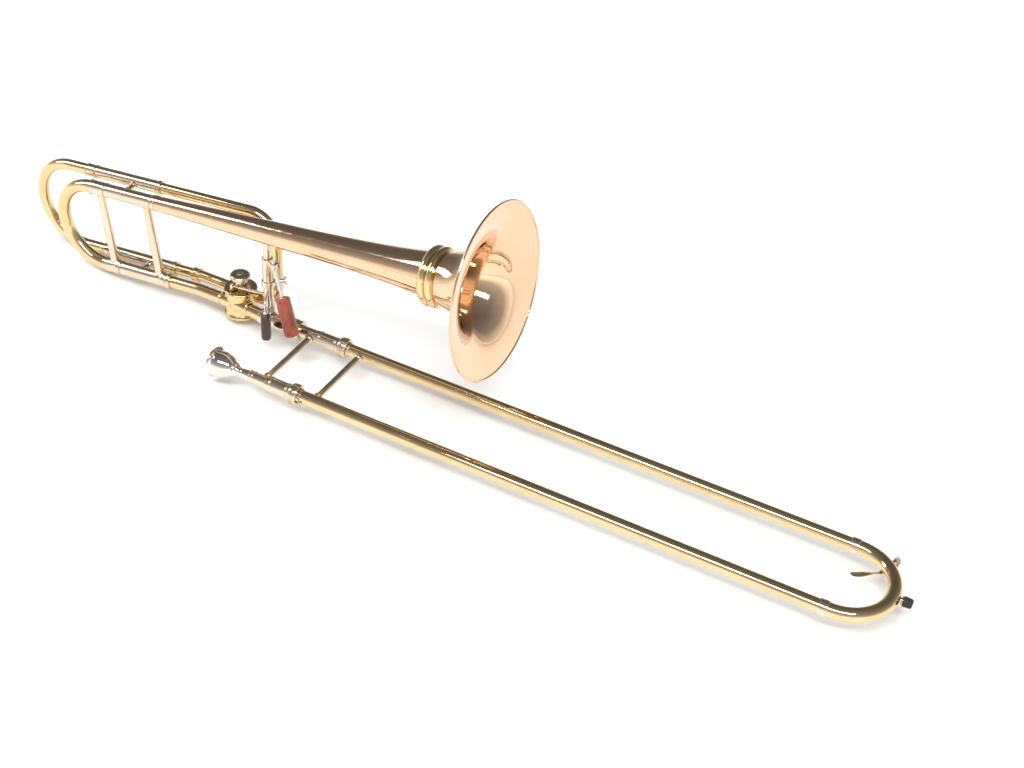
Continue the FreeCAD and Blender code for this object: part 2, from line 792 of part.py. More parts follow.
def tail_envelope():
    """Solid inside the outer face of the tail, for seating rings and stays on it."""
    end = ring_station + screw_length + 1.0
    stations = [tail_start, tail_start * 0.68 + tail_join_station * 0.32,
                tail_start * 0.34 + tail_join_station * 0.66, tail_join_station]
    stations += [tail_join_station + (end - tail_join_station) * step / 6 for step in range(1, 7)]
    top = spline_edge([(station, tail_radius(station)) for station in stations])
    edges = [Part.makeLine(Vector(tail_start, 0, 0), Vector(tail_start, tail_radius(tail_start), 0)), top,
             Part.makeLine(Vector(end, tail_radius(end), 0), Vector(end, 0, 0)),
             Part.makeLine(Vector(end, 0, 0), Vector(tail_start, 0, 0))]
    return on_bell_axis(Part.Face(Part.Wire(edges)).revolve(Vector(), AXIS_X, 360))


def bell_ring_male():
    """Screw ring soldered round the bell tail, with its threaded spigot."""
    back = ring_station - ring_width
    arc_height = ring_outer_radius - screw_radius - 0.5
    steps = [(back, screw_radius + 0.5 - 2.0),
             ((back + ring_station) / 2, screw_radius + 0.5 + arc_height, ring_station, screw_radius + 0.5),
             (ring_station, screw_radius),
             (ring_station + screw_length, screw_radius),
             (ring_station + screw_length, ring_bell_radius - 2)]
    ring = lathe((back, ring_bell_radius - 4), steps, bell_point(0), bell_dir)
    return ring.cut(tail_envelope())


def bell_ring_female():
    """Screw ring on the flare, turning on the male ring's thread."""
    back = ring_station + ring_gap
    front = back + ring_width
    step_at = ring_station + screw_length + 0.6
    bore = screw_radius + screw_clearance
    steps = [(back, screw_radius + 0.5),
             ((back + front) / 2, ring_outer_radius, front, screw_radius + 0.5),
             (front, horn_radius(front)),
             (step_at, horn_radius(step_at)),
             (step_at, bore)]
    return lathe((back, bore), steps, bell_point(0), bell_dir).cut(bell_flare())


def bell_flare():
    start_radius = horn_radius(ring_station + screw_length + 0.9)
    rim = rim_outer_radius - rim_bead
    count = 9
    outer = []
    inner = []
    for step in range(count + 1):
        radius = start_radius * (rim / start_radius) ** (step / count)
        station = horn_station(radius)
        normal = horn_normal(station)
        outer.append((station, radius))
        inner.append((station - bell_wall * normal[0], radius - bell_wall * normal[1]))
    shell = turned_shell(outer, inner)
    bead_station = (outer[-1][0] + inner[-1][0]) / 2
    bead = Part.makeTorus(rim, rim_bead, Vector(bead_station, 0, 0), AXIS_X)
    return on_bell_axis(shell.fuse(bead).removeSplitter())


# ---------------------------------------------------------------- main tubing
def leg_points(start, end, rise, beyond=0.0):
    return bell_point(start, rise, beyond), bell_point(end, rise, beyond)


def sleeves():
    """Outer sleeves that the main tuning slide's legs run in."""
    return group([beaded_sleeve(tuning_sleeve_radius, tuning_sleeve_bore,
                                *leg_points(sleeve_back, sleeve_front - 1.0, rise))
                  for rise in (0.0, -leg_drop)])


def sleeve_bands():
    """Rings over the joints between the sleeves and the fixed tubing."""
    tail_joint = beaded_sleeve(tuning_sleeve_radius + band_height, tail_start_radius,
                               *leg_points(sleeve_front, sleeve_front + band_length, 0.0))
    leg_joint = beaded_sleeve(tuning_sleeve_radius + band_height, lower_leg_radius,
                              *leg_points(sleeve_front, sleeve_front + band_length, -leg_drop))
    return group([tail_joint.cut(tail_envelope()), leg_joint])


def tuning_slide_bow():
    """Bow and running legs of the main tuning slide, one soldered piece."""
    upper = bell_point(tuning_bow_station)
    lower = bell_point(tuning_bow_station, -leg_drop)
    upper_end = bell_point(sleeve_back - sleeve_joint_gap)
    lower_end = bell_point(sleeve_back - sleeve_joint_gap, -leg_drop)
    back = bell_dir * -(leg_drop / 2)
    points = [upper_end, upper + back, lower + back, lower_end]
    bore = tuning_tube_radius - tuning_tube_wall
    bow = bent_pipe(points, [leg_drop / 2, leg_drop / 2], tuning_tube_radius, bore)
    legs = [pipe(tuning_leg_radius, bore, *leg_points(tuning_leg_end, sleeve_back - sleeve_joint_gap, rise))
            for rise in (0.0, -leg_drop)]
    return bow.fuse(legs).removeSplitter()


def tuning_slide_ferrules():
    back = sleeve_back - sleeve_joint_gap - tuning_ferrule_length
    return group([beaded_sleeve(tuning_sleeve_radius + 0.2, tuning_tube_radius,
                                *leg_points(back, sleeve_back - sleeve_joint_gap, rise))
                  for rise in (0.0, -leg_drop)])


def bell_stay(station, radius, stay_radius):
    feet = [bell_point(station), bell_point(station, -leg_drop)]
    return brace(feet, bell_dir, (radius, radius), stay_radius, brace_wall, pad_radius)


def main_lower_leg():
    """Fixed lower leg from its sleeve to the valve's rear near port."""
    start = bell_point(sleeve_front - 0.5, -leg_drop)
    port = Vector(port_end_x(-1), slide_spacing, valve_level)
    along = (valve_level - start.z) / bell_dir.z
    corner = start + bell_dir * along
    bore = lower_leg_radius - lower_leg_wall
    return bent_pipe([start, corner, port], [lower_leg_bend], lower_leg_radius, bore)


def port_end_x(sign):
    """Where a port tube stops beside the valve's axis; its end is then trimmed round the casing."""
    return valve_station + sign * port_stop


def seat_on_casing(shape):
    """Trim a tube end to the round outside of the casing."""
    casing = rod(casing_radius, valve_axis + AXIS_Z * (casing_bottom - 5), valve_axis + AXIS_Z * 40)
    return shape.cut(casing)


def longest_solid(shape):
    return max(shape.Solids, key=lambda solid: solid.Volume)


def neckpipe():
    receiver_back = slide_receiver_front - slide_receiver_length
    start = Vector(port_end_x(1), slide_spacing, valve_level)
    end = Vector(receiver_back - 1.2, slide_spacing, 0)
    return pipe(tenon_radius - 0.2, tenon_radius - 0.9, start, end)


def slide_receiver():
    """Socket on the bell section that takes the slide's tenon."""
    front = slide_receiver_front
    back = front - slide_receiver_length
    bore = tenon_radius + tenon_clearance
    thread = slide_receiver_radius + thread_height
    steps = [(back, slide_receiver_radius - 0.6),
             (back + 0.2, slide_receiver_radius - 0.2, back + 0.6, slide_receiver_radius),
             (front - thread_length, slide_receiver_radius),
             (front - thread_length, thread),
             (front, thread),
             (front, bore),
             (back + 8.0, bore),
             (back + 8.0, tenon_radius - 0.9)]
    return lathe((back, tenon_radius - 0.9), steps, slide_sides()[1], AXIS_X)


def front_strut():
    """Upright stay from the slide receiver to the underside of the bell tail."""
    top_station = strut_station / bell_dir.x
    receiver_top = strut_axis + AXIS_Z * (slide_receiver_radius - 2)
    under_bell = strut_axis + AXIS_Z * (bell_point(top_station).z)
    stay = rod(strut_radius, receiver_top, under_bell)
    low_pad = saddle_pad(AXIS_X, slide_receiver_radius, strut_axis, AXIS_Z, pad_radius)
    top_pad = rod(pad_radius, under_bell - AXIS_Z * (tail_radius(top_station) + 1.0), under_bell)
    strut = stay.fuse([top_pad]).cut(tail_envelope())
    strut = longest_solid(strut)
    socket = rod(slide_receiver_radius, strut_axis - AXIS_X * 20, strut_axis + AXIS_X * 20)
    return strut.cut(socket).fuse(low_pad).removeSplitter()


# ---------------------------------------------------------------- valve
def port_ways(radius):
    """The four straight ways through the casing wall, two on each side."""
    ways = []
    for sign in (-1, 1):
        for across in (-valve_offset, valve_offset):
            centre = valve_axis + Vector(0, across, valve_level)
            ways.append(rod(radius, centre, centre + AXIS_X * sign * (casing_radius + 2)))
    return ways


def valve_casing():
    shell = pipe(casing_radius, casing_bore, valve_axis + AXIS_Z * casing_bottom,
                 valve_axis + AXIS_Z * plate_top)
    for way in port_ways(port_radius):
        shell = shell.cut(way)
    return shell


def valve_rotor():
    """Plug with two straight ways, its spindle running in both bearing plates."""
    plug = rod(rotor_radius, valve_axis + AXIS_Z * rotor_bottom, valve_axis + AXIS_Z * rotor_top)
    for across in (-valve_offset, valve_offset):
        centre = valve_axis + Vector(0, across, valve_level)
        plug = plug.cut(rod(port_radius, centre - AXIS_X * casing_radius, centre + AXIS_X * casing_radius))
    spindle = rod(spindle_radius, valve_axis + AXIS_Z * (casing_bottom + 0.4), valve_axis + AXIS_Z * arm_top)
    return plug.fuse(spindle).removeSplitter()


def bearing_plates():
    bore = spindle_radius + spindle_clearance
    lower = pipe(casing_bore, bore, valve_axis + AXIS_Z * casing_bottom,
                 valve_axis + AXIS_Z * (casing_bottom + plate_thickness))
    upper = pipe(casing_bore, bore, valve_axis + AXIS_Z * plate_bottom, valve_axis + AXIS_Z * plate_top)
    boss = pipe(spindle_radius + 3.5, bore, valve_axis + AXIS_Z * plate_top,
                valve_axis + AXIS_Z * (arm_bottom - 0.3))
    return group([lower, upper.fuse(boss).removeSplitter()])


def valve_cap():
    """Screwed bottom cap with its rolled lip."""
    top = casing_bottom - 0.3
    bottom = top - cap_height
    outer = casing_radius + cap_lip
    steps = [(0, outer - 1.4),
             (0.4, outer - 0.4, 1.4, outer),
             (cap_height, outer),
             (cap_height, 0)]
    return lathe((0, 0), steps, valve_axis + AXIS_Z * bottom, AXIS_Z)


def stop_corks():
    """Two cork buffers on the upper plate, one for each end of the stop arm's travel."""
    corks = []
    for angle in (stop_arm_rest - stop_cork_lead, stop_arm_rest + valve_turn + stop_cork_lead):
        base = valve_axis + around(angle, stop_cork_ring) + AXIS_Z * plate_top
        corks.append(rod(stop_cork_radius, base, base + AXIS_Z * (arm_top - plate_top)))
    return group(corks)


def flat_arm(centre, angle, length, width, bottom, top):
    """Flat bar with a rounded end, from an axis outwards."""
    out = around(angle)
    side = around(angle + 90, width / 2)
    base = centre + AXIS_Z * bottom
    corners = [base - side, base + out * length - side, base + out * length + side, base + side]
    bar = slab(corners, AXIS_Z * (top - bottom))
    end = rod(width / 2, base + out * length, base + out * length + AXIS_Z * (top - bottom))
    return bar.fuse(end)


def stop_arm():
    arm = flat_arm(valve_axis, stop_arm_rest, stop_arm_radius, arm_width, arm_bottom, arm_top)
    hub = rod(arm_hub_radius, valve_axis + AXIS_Z * arm_bottom, valve_axis + AXIS_Z * arm_top)
    ball = valve_axis + around(stop_arm_rest, stop_arm_radius)
    stud = rod(stud_radius, ball + AXIS_Z * arm_top, ball + AXIS_Z * (housing_top + 0.5))
    shape = arm.fuse([hub, stud]).removeSplitter()
    spindle = rod(spindle_radius, valve_axis + AXIS_Z * (arm_bottom - 1), valve_axis + AXIS_Z * arm_top)
    return shape.cut(spindle)


def rotor_knob():
    """Nickel-topped screw knob that closes the rotor's spindle over the stop arm."""
    disc_bottom = housing_top + 6.0
    disc_top = disc_bottom + knob_height
    base = arm_top
    steps = [(0, knob_neck_radius),
             (housing_top + 1.4 - base, knob_neck_radius),
             (housing_top + 1.4 - base, knob_drum_radius),
             (disc_bottom - base, knob_drum_radius),
             (disc_bottom - base, knob_radius - 0.8),
             (disc_bottom - base + 0.3, knob_radius - 0.2, disc_bottom - base + 1.0, knob_radius),
             (disc_top - base - 1.6, knob_radius),
             (disc_top - base - 0.5, knob_radius - 1.2, disc_top - base - 0.2, knob_radius - 3.2),
             (disc_top - base, 0)]
    return lathe((0, 0), steps, valve_axis + AXIS_Z * base, AXIS_Z)


def link_rod():
    """Rod from the stop arm to the trigger, with a ball housing at each end."""
    level = (housing_bottom + housing_top) / 2
    near = valve_axis + around(stop_arm_rest, stop_arm_radius)
    far = strut_axis + around(trigger_arm_rest, trigger_arm_radius)
    along = unit(far - near)
    bar = rod(link_radius, near + AXIS_Z * level, far + AXIS_Z * level)
    near_end = rod(housing_radius, near + AXIS_Z * housing_bottom, near + AXIS_Z * housing_top)
    far_end = rod(housing_radius, far + AXIS_Z * housing_bottom, far + AXIS_Z * housing_top)
    sleeve_start = near + along * 9 + AXIS_Z * level
    sleeve_end = far - along * 9 + AXIS_Z * level
    barrel = rod(link_radius + 0.7, sleeve_start, sleeve_end)
    shape = bar.fuse([near_end, far_end, barrel]).removeSplitter()
    bore = stud_radius + 0.06
    return shape.cut(rod(bore, near + AXIS_Z * (housing_bottom - 1), near + AXIS_Z * (housing_top + 1)))


# ---------------------------------------------------------------- trigger
def trigger_hub():
    """Sleeve turning on the strut, with the arm that carries the link's far ball."""
    bore = strut_radius + trigger_clearance
    outer = bore + hub_wall
    sleeve = beaded_sleeve(outer, bore, strut_axis + AXIS_Z * hub_bottom, strut_axis + AXIS_Z * hub_top, 0.5)
    arm = flat_arm(strut_axis, trigger_arm_rest, trigger_arm_radius, arm_width - 1, arm_bottom, arm_top)
    arm = arm.cut(rod(outer, strut_axis, strut_axis + AXIS_Z * 60))
    return sleeve.fuse(longest_solid(arm)).removeSplitter()


def trigger_stem():
    """Bent wire from the hub to the top of the paddle."""
    outer = strut_radius + trigger_clearance + hub_wall
    out = around(paddle_angle)
    level = paddle_top + stem_rise
    points = [strut_axis + out * (outer - 0.3) + AXIS_Z * level,
              strut_axis + out * paddle_reach + AXIS_Z * level,
              strut_axis + out * paddle_reach + AXIS_Z * (paddle_top - 6)]
    stem = bent_pipe(points, [6.0], stem_radius, 0.2)
    sleeve = rod(outer, strut_axis + AXIS_Z * hub_bottom, strut_axis + AXIS_Z * hub_top)
    return stem.cut(sleeve)


def trigger_paddle():
    """Rounded wooden thumb paddle on the stem."""
    out = around(paddle_angle)
    side = around(paddle_angle + 90)
    centre = strut_axis + out * paddle_reach
    half = paddle_width / 2
    bottom = paddle_top - paddle_length
    block = []
    for level in (paddle_top - half, bottom + half):
        block.append(rod(half, centre + AXIS_Z * level - side * paddle_thickness / 2,
                         centre + AXIS_Z * level + side * paddle_thickness / 2))
    base = centre - side * paddle_thickness / 2 + AXIS_Z * (bottom + half)
    tall = AXIS_Z * (paddle_length - paddle_width)
    core = slab([base - out * half, base + out * half, base + out * half + tall, base - out * half + tall],
                side * paddle_thickness)
    paddle = core.fuse(block).removeSplitter()
    paddle = paddle.makeFillet(paddle_thickness * 0.36, [edge for edge in paddle.Edges
                                                        if abs(edge_side(edge, side, centre)) > 1])
    stem_way = rod(stem_radius, centre + AXIS_Z * (paddle_top - 6), centre + AXIS_Z * (paddle_top + 5))
    return paddle.cut(stem_way)


def edge_side(edge, side, centre):
    """Signed distance of an edge's centre from the paddle's middle plane, zero if it crosses it."""
    ends = [(vertex.Point - centre).dot(side) for vertex in edge.Vertexes]
    if max(ends) - min(ends) > 0.5:
        return 0.0
    return ends[0]


# ---------------------------------------------------------------- hand rest
def rest_top():
    return rest_rod_top + Vector(0, slide_spacing, 0)


def rest_bottom():
    return rest_grip_bottom + Vector(0, slide_spacing, 0)


def hand_rest_clamp():
    """Sleeve clamped on the strut, its collar below and the eye for the rod above."""
    bore = strut_radius + trigger_clearance
    bottom = strut_axis + AXIS_Z * clamp_bottom
    top = strut_axis + AXIS_Z * (clamp_bottom + clamp_height)
    sleeve = beaded_sleeve(clamp_radius, bore, bottom, top, 0.5)
    collar = round_ring(clamp_collar_radius, clamp_radius - 0.5, bottom,
                        bottom + AXIS_Z * clamp_collar_height, 0.6)
    eye_centre = rest_top()
    level = Vector(strut_axis.x, strut_axis.y, eye_centre.z)
    reach = eye_centre - level
    side = unit(reach.cross(AXIS_Z)) * 3.0
    low = AXIS_Z * -4.0
    corners = [level + side + low, eye_centre + side + low, eye_centre - side + low, level - side + low]
    bridge = slab(corners, AXIS_Z * 6.0)
    eye = rod(rest_rod_radius + 2.0, eye_centre - AXIS_Z * 4.0, eye_centre + AXIS_Z * 3.4)
    shape = sleeve.fuse([collar, bridge, eye])
    shape = shape.cut(rod(bore, bottom - AXIS_Z, top + AXIS_Z * 5))
    along = unit(rest_bottom() - rest_top())
    shape = shape.cut(rod(rest_rod_radius, rest_top() - along * 8, rest_top() + along * 12))
    shape = shape.cut(rod(screw_stem + 0.06, screw_point(0), screw_point(30)))
    return longest_solid(shape.removeSplitter())


def hand_rest_rod():
    along = unit(rest_bottom() - rest_top())
    end = rest_bottom() - along * (rest_grip_length - 20.0)
    rod_shape = rod(rest_rod_radius, rest_top() - along * 6.0, end)
    cap = rod(rest_rod_radius + 1.0, rest_top() - along * 7.6, rest_top() - along * 6.0)
    return rod_shape.fuse(cap).removeSplitter()


def hand_rest_grip():
    """Turned wooden grip on the lower end of the rod."""
    along = unit(rest_bottom() - rest_top())
    base = rest_bottom() - along * rest_grip_length
    edge = 3.2
    steps = [(0, rest_grip_radius - edge),
             (edge * 0.3, rest_grip_radius - edge * 0.3, edge, rest_grip_radius),
             (rest_grip_length - edge, rest_grip_radius),
             (rest_grip_length - edge * 0.3, rest_grip_radius - edge * 0.3,
              rest_grip_length, rest_grip_radius - edge),
             (rest_grip_length, 0),
             (20.0, 0),
             (20.0, rest_rod_radius)]
    return lathe((0, rest_rod_radius), steps, base, along)


def screw_point(distance):
    level = clamp_bottom + clamp_collar_height / 2
    return strut_axis + around(screw_angle, distance) + AXIS_Z * level


def hand_rest_screw():
    """Thumbscrew that tightens the hand rest's collar on the strut."""
    start = strut_radius + trigger_clearance + 0.2
    stem = rod(screw_stem, screw_point(start), screw_point(screw_reach))
    out = around(screw_angle)
    head_start = screw_point(screw_reach - thumb_thickness / 2)
    head = Part.makeCylinder(thumb_radius, thumb_thickness, head_start, out)
    neck = rod(screw_stem + 1.0, screw_point(clamp_collar_radius + 0.4), screw_point(screw_reach))
    return stem.fuse([neck, head]).removeSplitter()


# ---------------------------------------------------------------- F tubing
def f_sleeves():
    return group([beaded_sleeve(f_sleeve_radius, f_sleeve_bore,
                                *leg_points(f_sleeve_back, f_sleeve_front, rise, f_plane))
                  for rise in (f_upper_rise, f_upper_rise - f_leg_drop)])


def f_tuning_bow():
    """Bow and running legs of the F tuning slide."""
    upper = bell_point(f_bow_station, f_upper_rise, f_plane)
    lower = bell_point(f_bow_station, f_upper_rise - f_leg_drop, f_plane)
    joint = f_sleeve_back - sleeve_joint_gap
    back = bell_dir * -(f_leg_drop / 2)
    points = [bell_point(joint, f_upper_rise, f_plane), upper + back, lower + back,
              bell_point(joint, f_upper_rise - f_leg_drop, f_plane)]
    bore = f_tube_radius - f_tube_wall
    bow = bent_pipe(points, [f_leg_drop / 2, f_leg_drop / 2], f_tube_radius, bore)
    legs = [pipe(f_leg_radius, bore, *leg_points(f_leg_end, joint, rise, f_plane))
            for rise in (f_upper_rise, f_upper_rise - f_leg_drop)]
    return bow.fuse(legs).removeSplitter()


def f_bow_ferrules():
    joint = f_sleeve_back - sleeve_joint_gap
    return group([beaded_sleeve(f_sleeve_radius + 0.2, f_tube_radius,
                                *leg_points(joint - f_ferrule_length, joint, rise, f_plane))
                  for rise in (f_upper_rise, f_upper_rise - f_leg_drop)])


def f_lower_leg():
    """From the lower F sleeve to the valve's rear far port."""
    start = bell_point(f_sleeve_front + 0.1, f_upper_rise - f_leg_drop, f_plane)
    port = Vector(port_end_x(-1), slide_spacing + 2 * valve_offset, valve_level)
    straight = bell_point(f_sleeve_front + f_leg_straight, f_upper_rise - f_leg_drop, f_plane)
    level = port - AXIS_X * f_leg_level
    return bent_pipe([start, straight, level, port], [f_leg_bend, f_leg_bend],
                     f_small_radius, f_small_radius - f_tube_wall)


def f_return_tube():
    """From the upper F sleeve, over and down, to the valve's front far port."""
    start = bell_point(f_sleeve_front + 0.1, f_upper_rise, f_plane)
    top = bell_point(f_turn_station / bell_dir.x, f_upper_rise, f_plane)
    port = Vector(port_end_x(1), slide_spacing + 2 * valve_offset, valve_level)
    low = Vector(f_turn_station, port.y, valve_level)
    return bent_pipe([start, top, low, port], [f_upper_bend, f_lower_bend],
                     f_small_radius, f_small_radius - f_tube_wall)


def f_connector_rings():
    """Ferrules where the F tubing joins its sleeves and the valve leg."""
    rings = []
    for rise in (f_upper_rise, f_upper_rise - f_leg_drop):
        ends = leg_points(f_sleeve_front + 0.4, f_sleeve_front + 0.4 + band_length, rise, f_plane)
        rings.append(beaded_sleeve(f_sleeve_radius + 0.5, f_small_radius, *ends))
    joint = f_sleeve_front + f_joint_station
    ends = leg_points(joint, joint + f_joint_length, f_upper_rise - f_leg_drop, f_plane)
    rings.append(beaded_sleeve(f_sleeve_radius + 0.3, f_small_radius, *ends, 0.9))
    return group(rings)


def f_stays():
    """Short stays that hold the F sleeves to the main sleeves."""
    stays = []
    station = (sleeve_back + sleeve_front) / 2 - 12
    for main_rise, f_rise in ((0.0, f_upper_rise), (-leg_drop, f_upper_rise - f_leg_drop)):
        foot_main = bell_point(station, main_rise)
        foot_f = bell_point(station, f_rise, f_plane)
        towards = unit(foot_f - foot_main)
        stay = rod(f_strut_radius, foot_main + towards * (tuning_sleeve_radius - 2),
                   foot_f - towards * (f_sleeve_radius - 2))
        flare_a = rod(f_strut_radius + 1.6, foot_main + towards * (tuning_sleeve_radius - 2),
                      foot_main + towards * (tuning_sleeve_radius + 1.2))
        flare_b = rod(f_strut_radius + 1.6, foot_f - towards * (f_sleeve_radius + 1.2),
                      foot_f - towards * (f_sleeve_radius - 2))
        shape = stay.fuse([flare_a, flare_b])
        reach = bell_dir * 12
        shape = shape.cut(rod(tuning_sleeve_radius, foot_main - reach, foot_main + reach))
        shape = shape.cut(rod(f_sleeve_radius, foot_f - reach, foot_f + reach))
        stays.append(longest_solid(shape.removeSplitter()))
    return group(stays)


# ---------------------------------------------------------------- assembly
def build():
    near, far = slide_sides()
    return {
        "mouthpiece": mouthpiece(),
        "mouthpiece_receiver": mouthpiece_receiver(),
        "leadpipe": leadpipe(),
        "inner_slide_tubes": inner_slide_tubes(),
        "near_cork_barrel": cork_barrel(near),
        "far_cork_barrel": cork_barrel(far),
        "barrel_corks": barrel_corks(),
        "barrel_springs": barrel_springs(),
        "far_barrel_ring": far_barrel_ring(),
        "slide_lock_ring": slide_lock_ring(),
        "inner_slide_brace": inner_slide_brace(),
        "slide_tenon": slide_tenon(),
        "slide_lock_nut": slide_lock_nut(),
        "outer_slide_tubes": outer_slide_tubes(),
        "outer_slide_end_rings": outer_slide_end_rings(),
        "outer_slide_brace": outer_slide_brace(),
        "slide_bow": slide_bow(),
        "bow_ferrules": bow_ferrules(),
        "bumper_socket": bumper_socket(),
        "rubber_bumper": rubber_bumper(),
        "water_key_nipple": water_key_nipple(),
        "water_key_pin": water_key_pin(),
        "water_key_lever": water_key_lever(),
        "water_key_cork": water_key_cork(),
        "bell_tail": bell_tail(),
        "bell_ring_male": bell_ring_male(),
        "bell_ring_female": bell_ring_female(),
        "bell_flare": bell_flare(),
        "tuning_sleeves": sleeves(),
        "sleeve_bands": sleeve_bands(),
        "tuning_slide_bow": tuning_slide_bow(),
        "tuning_slide_ferrules": tuning_slide_ferrules(),
        "tuning_slide_brace": bell_stay(tuning_brace_station, tuning_sleeve_radius + 0.2, brace_radius),
        "rear_bell_brace": bell_stay(bell_brace_station, tuning_sleeve_radius, brace_radius),
        "main_lower_leg": seat_on_casing(main_lower_leg()),
        "neckpipe": seat_on_casing(neckpipe()),
        "slide_receiver": slide_receiver(),
        "front_strut": front_strut(),
        "valve_casing": valve_casing(),
        "valve_rotor": valve_rotor(),
        "bearing_plates": bearing_plates(),
        "valve_cap": valve_cap(),
        "stop_corks": stop_corks(),
        "stop_arm": stop_arm(),
        "rotor_knob": rotor_knob(),
        "link_rod": link_rod(),
        "trigger_hub": trigger_hub(),
        "trigger_stem": trigger_stem(),
        "trigger_paddle": trigger_paddle(),
        "hand_rest_clamp": hand_rest_clamp(),
        "hand_rest_rod": hand_rest_rod(),
        "hand_rest_grip": hand_rest_grip(),
        "hand_rest_screw": hand_rest_screw(),
        "f_sleeves": f_sleeves(),
        "f_tuning_bow": f_tuning_bow(),
        "f_bow_ferrules": f_bow_ferrules(),
        "f_lower_leg": seat_on_casing(f_lower_leg()),
        "f_return_tube": seat_on_casing(f_return_tube()),
        "f_connector_rings": f_connector_rings(),
        "f_stays": f_stays(),
    }


def seat(shapes):
    """Shift that stands the model on its lowest point, with the origin under its middle."""
    box = FreeCAD.BoundBox()
    for shape in shapes.values():
        box.add(shape.optimalBoundingBox(False, False))
    return Vector(-box.Center.x, -box.Center.y, -box.ZMin)


shapes = build()
shift = seat(shapes)
os.makedirs("parts", exist_ok=True)
for name, shape in shapes.items():
    placed = shape.copy()
    placed.translate(shift)
    placed.exportStep("parts/" + name + ".step")
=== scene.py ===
import json
import math
import bpy
from mathutils import Matrix, Vector


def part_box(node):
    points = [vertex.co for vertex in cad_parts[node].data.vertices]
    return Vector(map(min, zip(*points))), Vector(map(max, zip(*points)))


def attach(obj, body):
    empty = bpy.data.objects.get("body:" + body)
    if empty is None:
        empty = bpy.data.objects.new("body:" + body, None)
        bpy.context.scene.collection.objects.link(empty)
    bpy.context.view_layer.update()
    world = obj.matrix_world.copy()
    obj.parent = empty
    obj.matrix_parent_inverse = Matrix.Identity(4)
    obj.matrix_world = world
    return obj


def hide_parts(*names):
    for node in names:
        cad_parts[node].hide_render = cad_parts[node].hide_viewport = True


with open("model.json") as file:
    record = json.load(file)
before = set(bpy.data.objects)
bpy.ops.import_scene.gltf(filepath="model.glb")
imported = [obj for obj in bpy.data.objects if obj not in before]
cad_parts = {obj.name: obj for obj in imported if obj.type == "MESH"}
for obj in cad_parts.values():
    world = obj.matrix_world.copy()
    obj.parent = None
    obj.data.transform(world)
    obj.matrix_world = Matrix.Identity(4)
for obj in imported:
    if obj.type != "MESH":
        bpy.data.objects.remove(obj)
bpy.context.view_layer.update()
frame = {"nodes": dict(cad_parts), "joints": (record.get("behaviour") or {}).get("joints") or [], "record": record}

JOINTS = {joint["name"]: joint for joint in frame["joints"]}
SLIDE_MOUTH = Vector(JOINTS["slide_lock_turn"]["pos_m"])
AXIS_X, AXIS_Y, AXIS_Z = Vector((1, 0, 0)), Vector((0, 1, 0)), Vector((0, 0, 1))
MM = 0.001
BELL_RING = Vector(JOINTS["bell_unscrew"]["pos_m"])
BELL_DIR = Vector(JOINTS["bell_unscrew"]["axis"])
BELL_UP = BELL_DIR.cross(AXIS_Y) * -1
RING_STATION = 122.0
SLIDE_GAP = JOINTS["slide_turn"]["pos_m"][1] - SLIDE_MOUTH.y
VALVE = Vector(JOINTS["rotor_turn"]["pos_m"])
STRUT = Vector(JOINTS["trigger_swing"]["pos_m"])
PORT_LEVEL = VALVE.z
KEY_PIN = Vector(JOINTS["water_key_press"]["pos_m"])
KEY_SIDE = Vector(JOINTS["water_key_press"]["axis"])
KEY_OUT = KEY_SIDE.cross(AXIS_Z)
KEY_DROP = SLIDE_MOUTH.z - KEY_PIN.z

# sizes in mm that several fittings share
SLIDE_STAY = 4.1
BELL_STAY = 5.5
STRUT_RADIUS = 4.9
PORT_OFFSET = 13.0
STAY_COLLAR_INSET = 3.4
PADDLE_PIN_REACH = 5.35
FLOOR_SIZE = 6


# ---------------------------------------------------------------- camera
def place_camera():
    """Looks down over the mouthpiece side, with the hand slide running away to the right."""
    right = Vector((0.8816, 0.4683, 0.0596))
    forward = Vector((-0.3318, 0.7045, -0.6273)).normalized()
    right = (right - forward * right.dot(forward)).normalized()
    up = right.cross(forward)
    bpy.ops.object.camera_add(location=SLIDE_MOUTH + Vector((0.8266, -1.1748, 1.1821)))
    camera = bpy.context.object
    turn = Matrix((right, up, -forward)).transposed()
    camera.rotation_euler = turn.to_euler()
    camera.data.sensor_width = 36
    camera.data.lens = 55.18
    camera.data.clip_end = 50
    bpy.context.scene.camera = camera


# ---------------------------------------------------------------- studio
def soft_light(name, place, aim, size, power, seen=True):
    bpy.ops.object.light_add(type="AREA", location=place)
    lamp = bpy.context.object
    lamp.name = name
    lamp.rotation_euler = (Vector(aim) - Vector(place)).to_track_quat("-Z", "Y").to_euler()
    lamp.data.shape = "RECTANGLE"
    lamp.data.size, lamp.data.size_y = size
    lamp.data.energy = power
    lamp.visible_glossy = seen


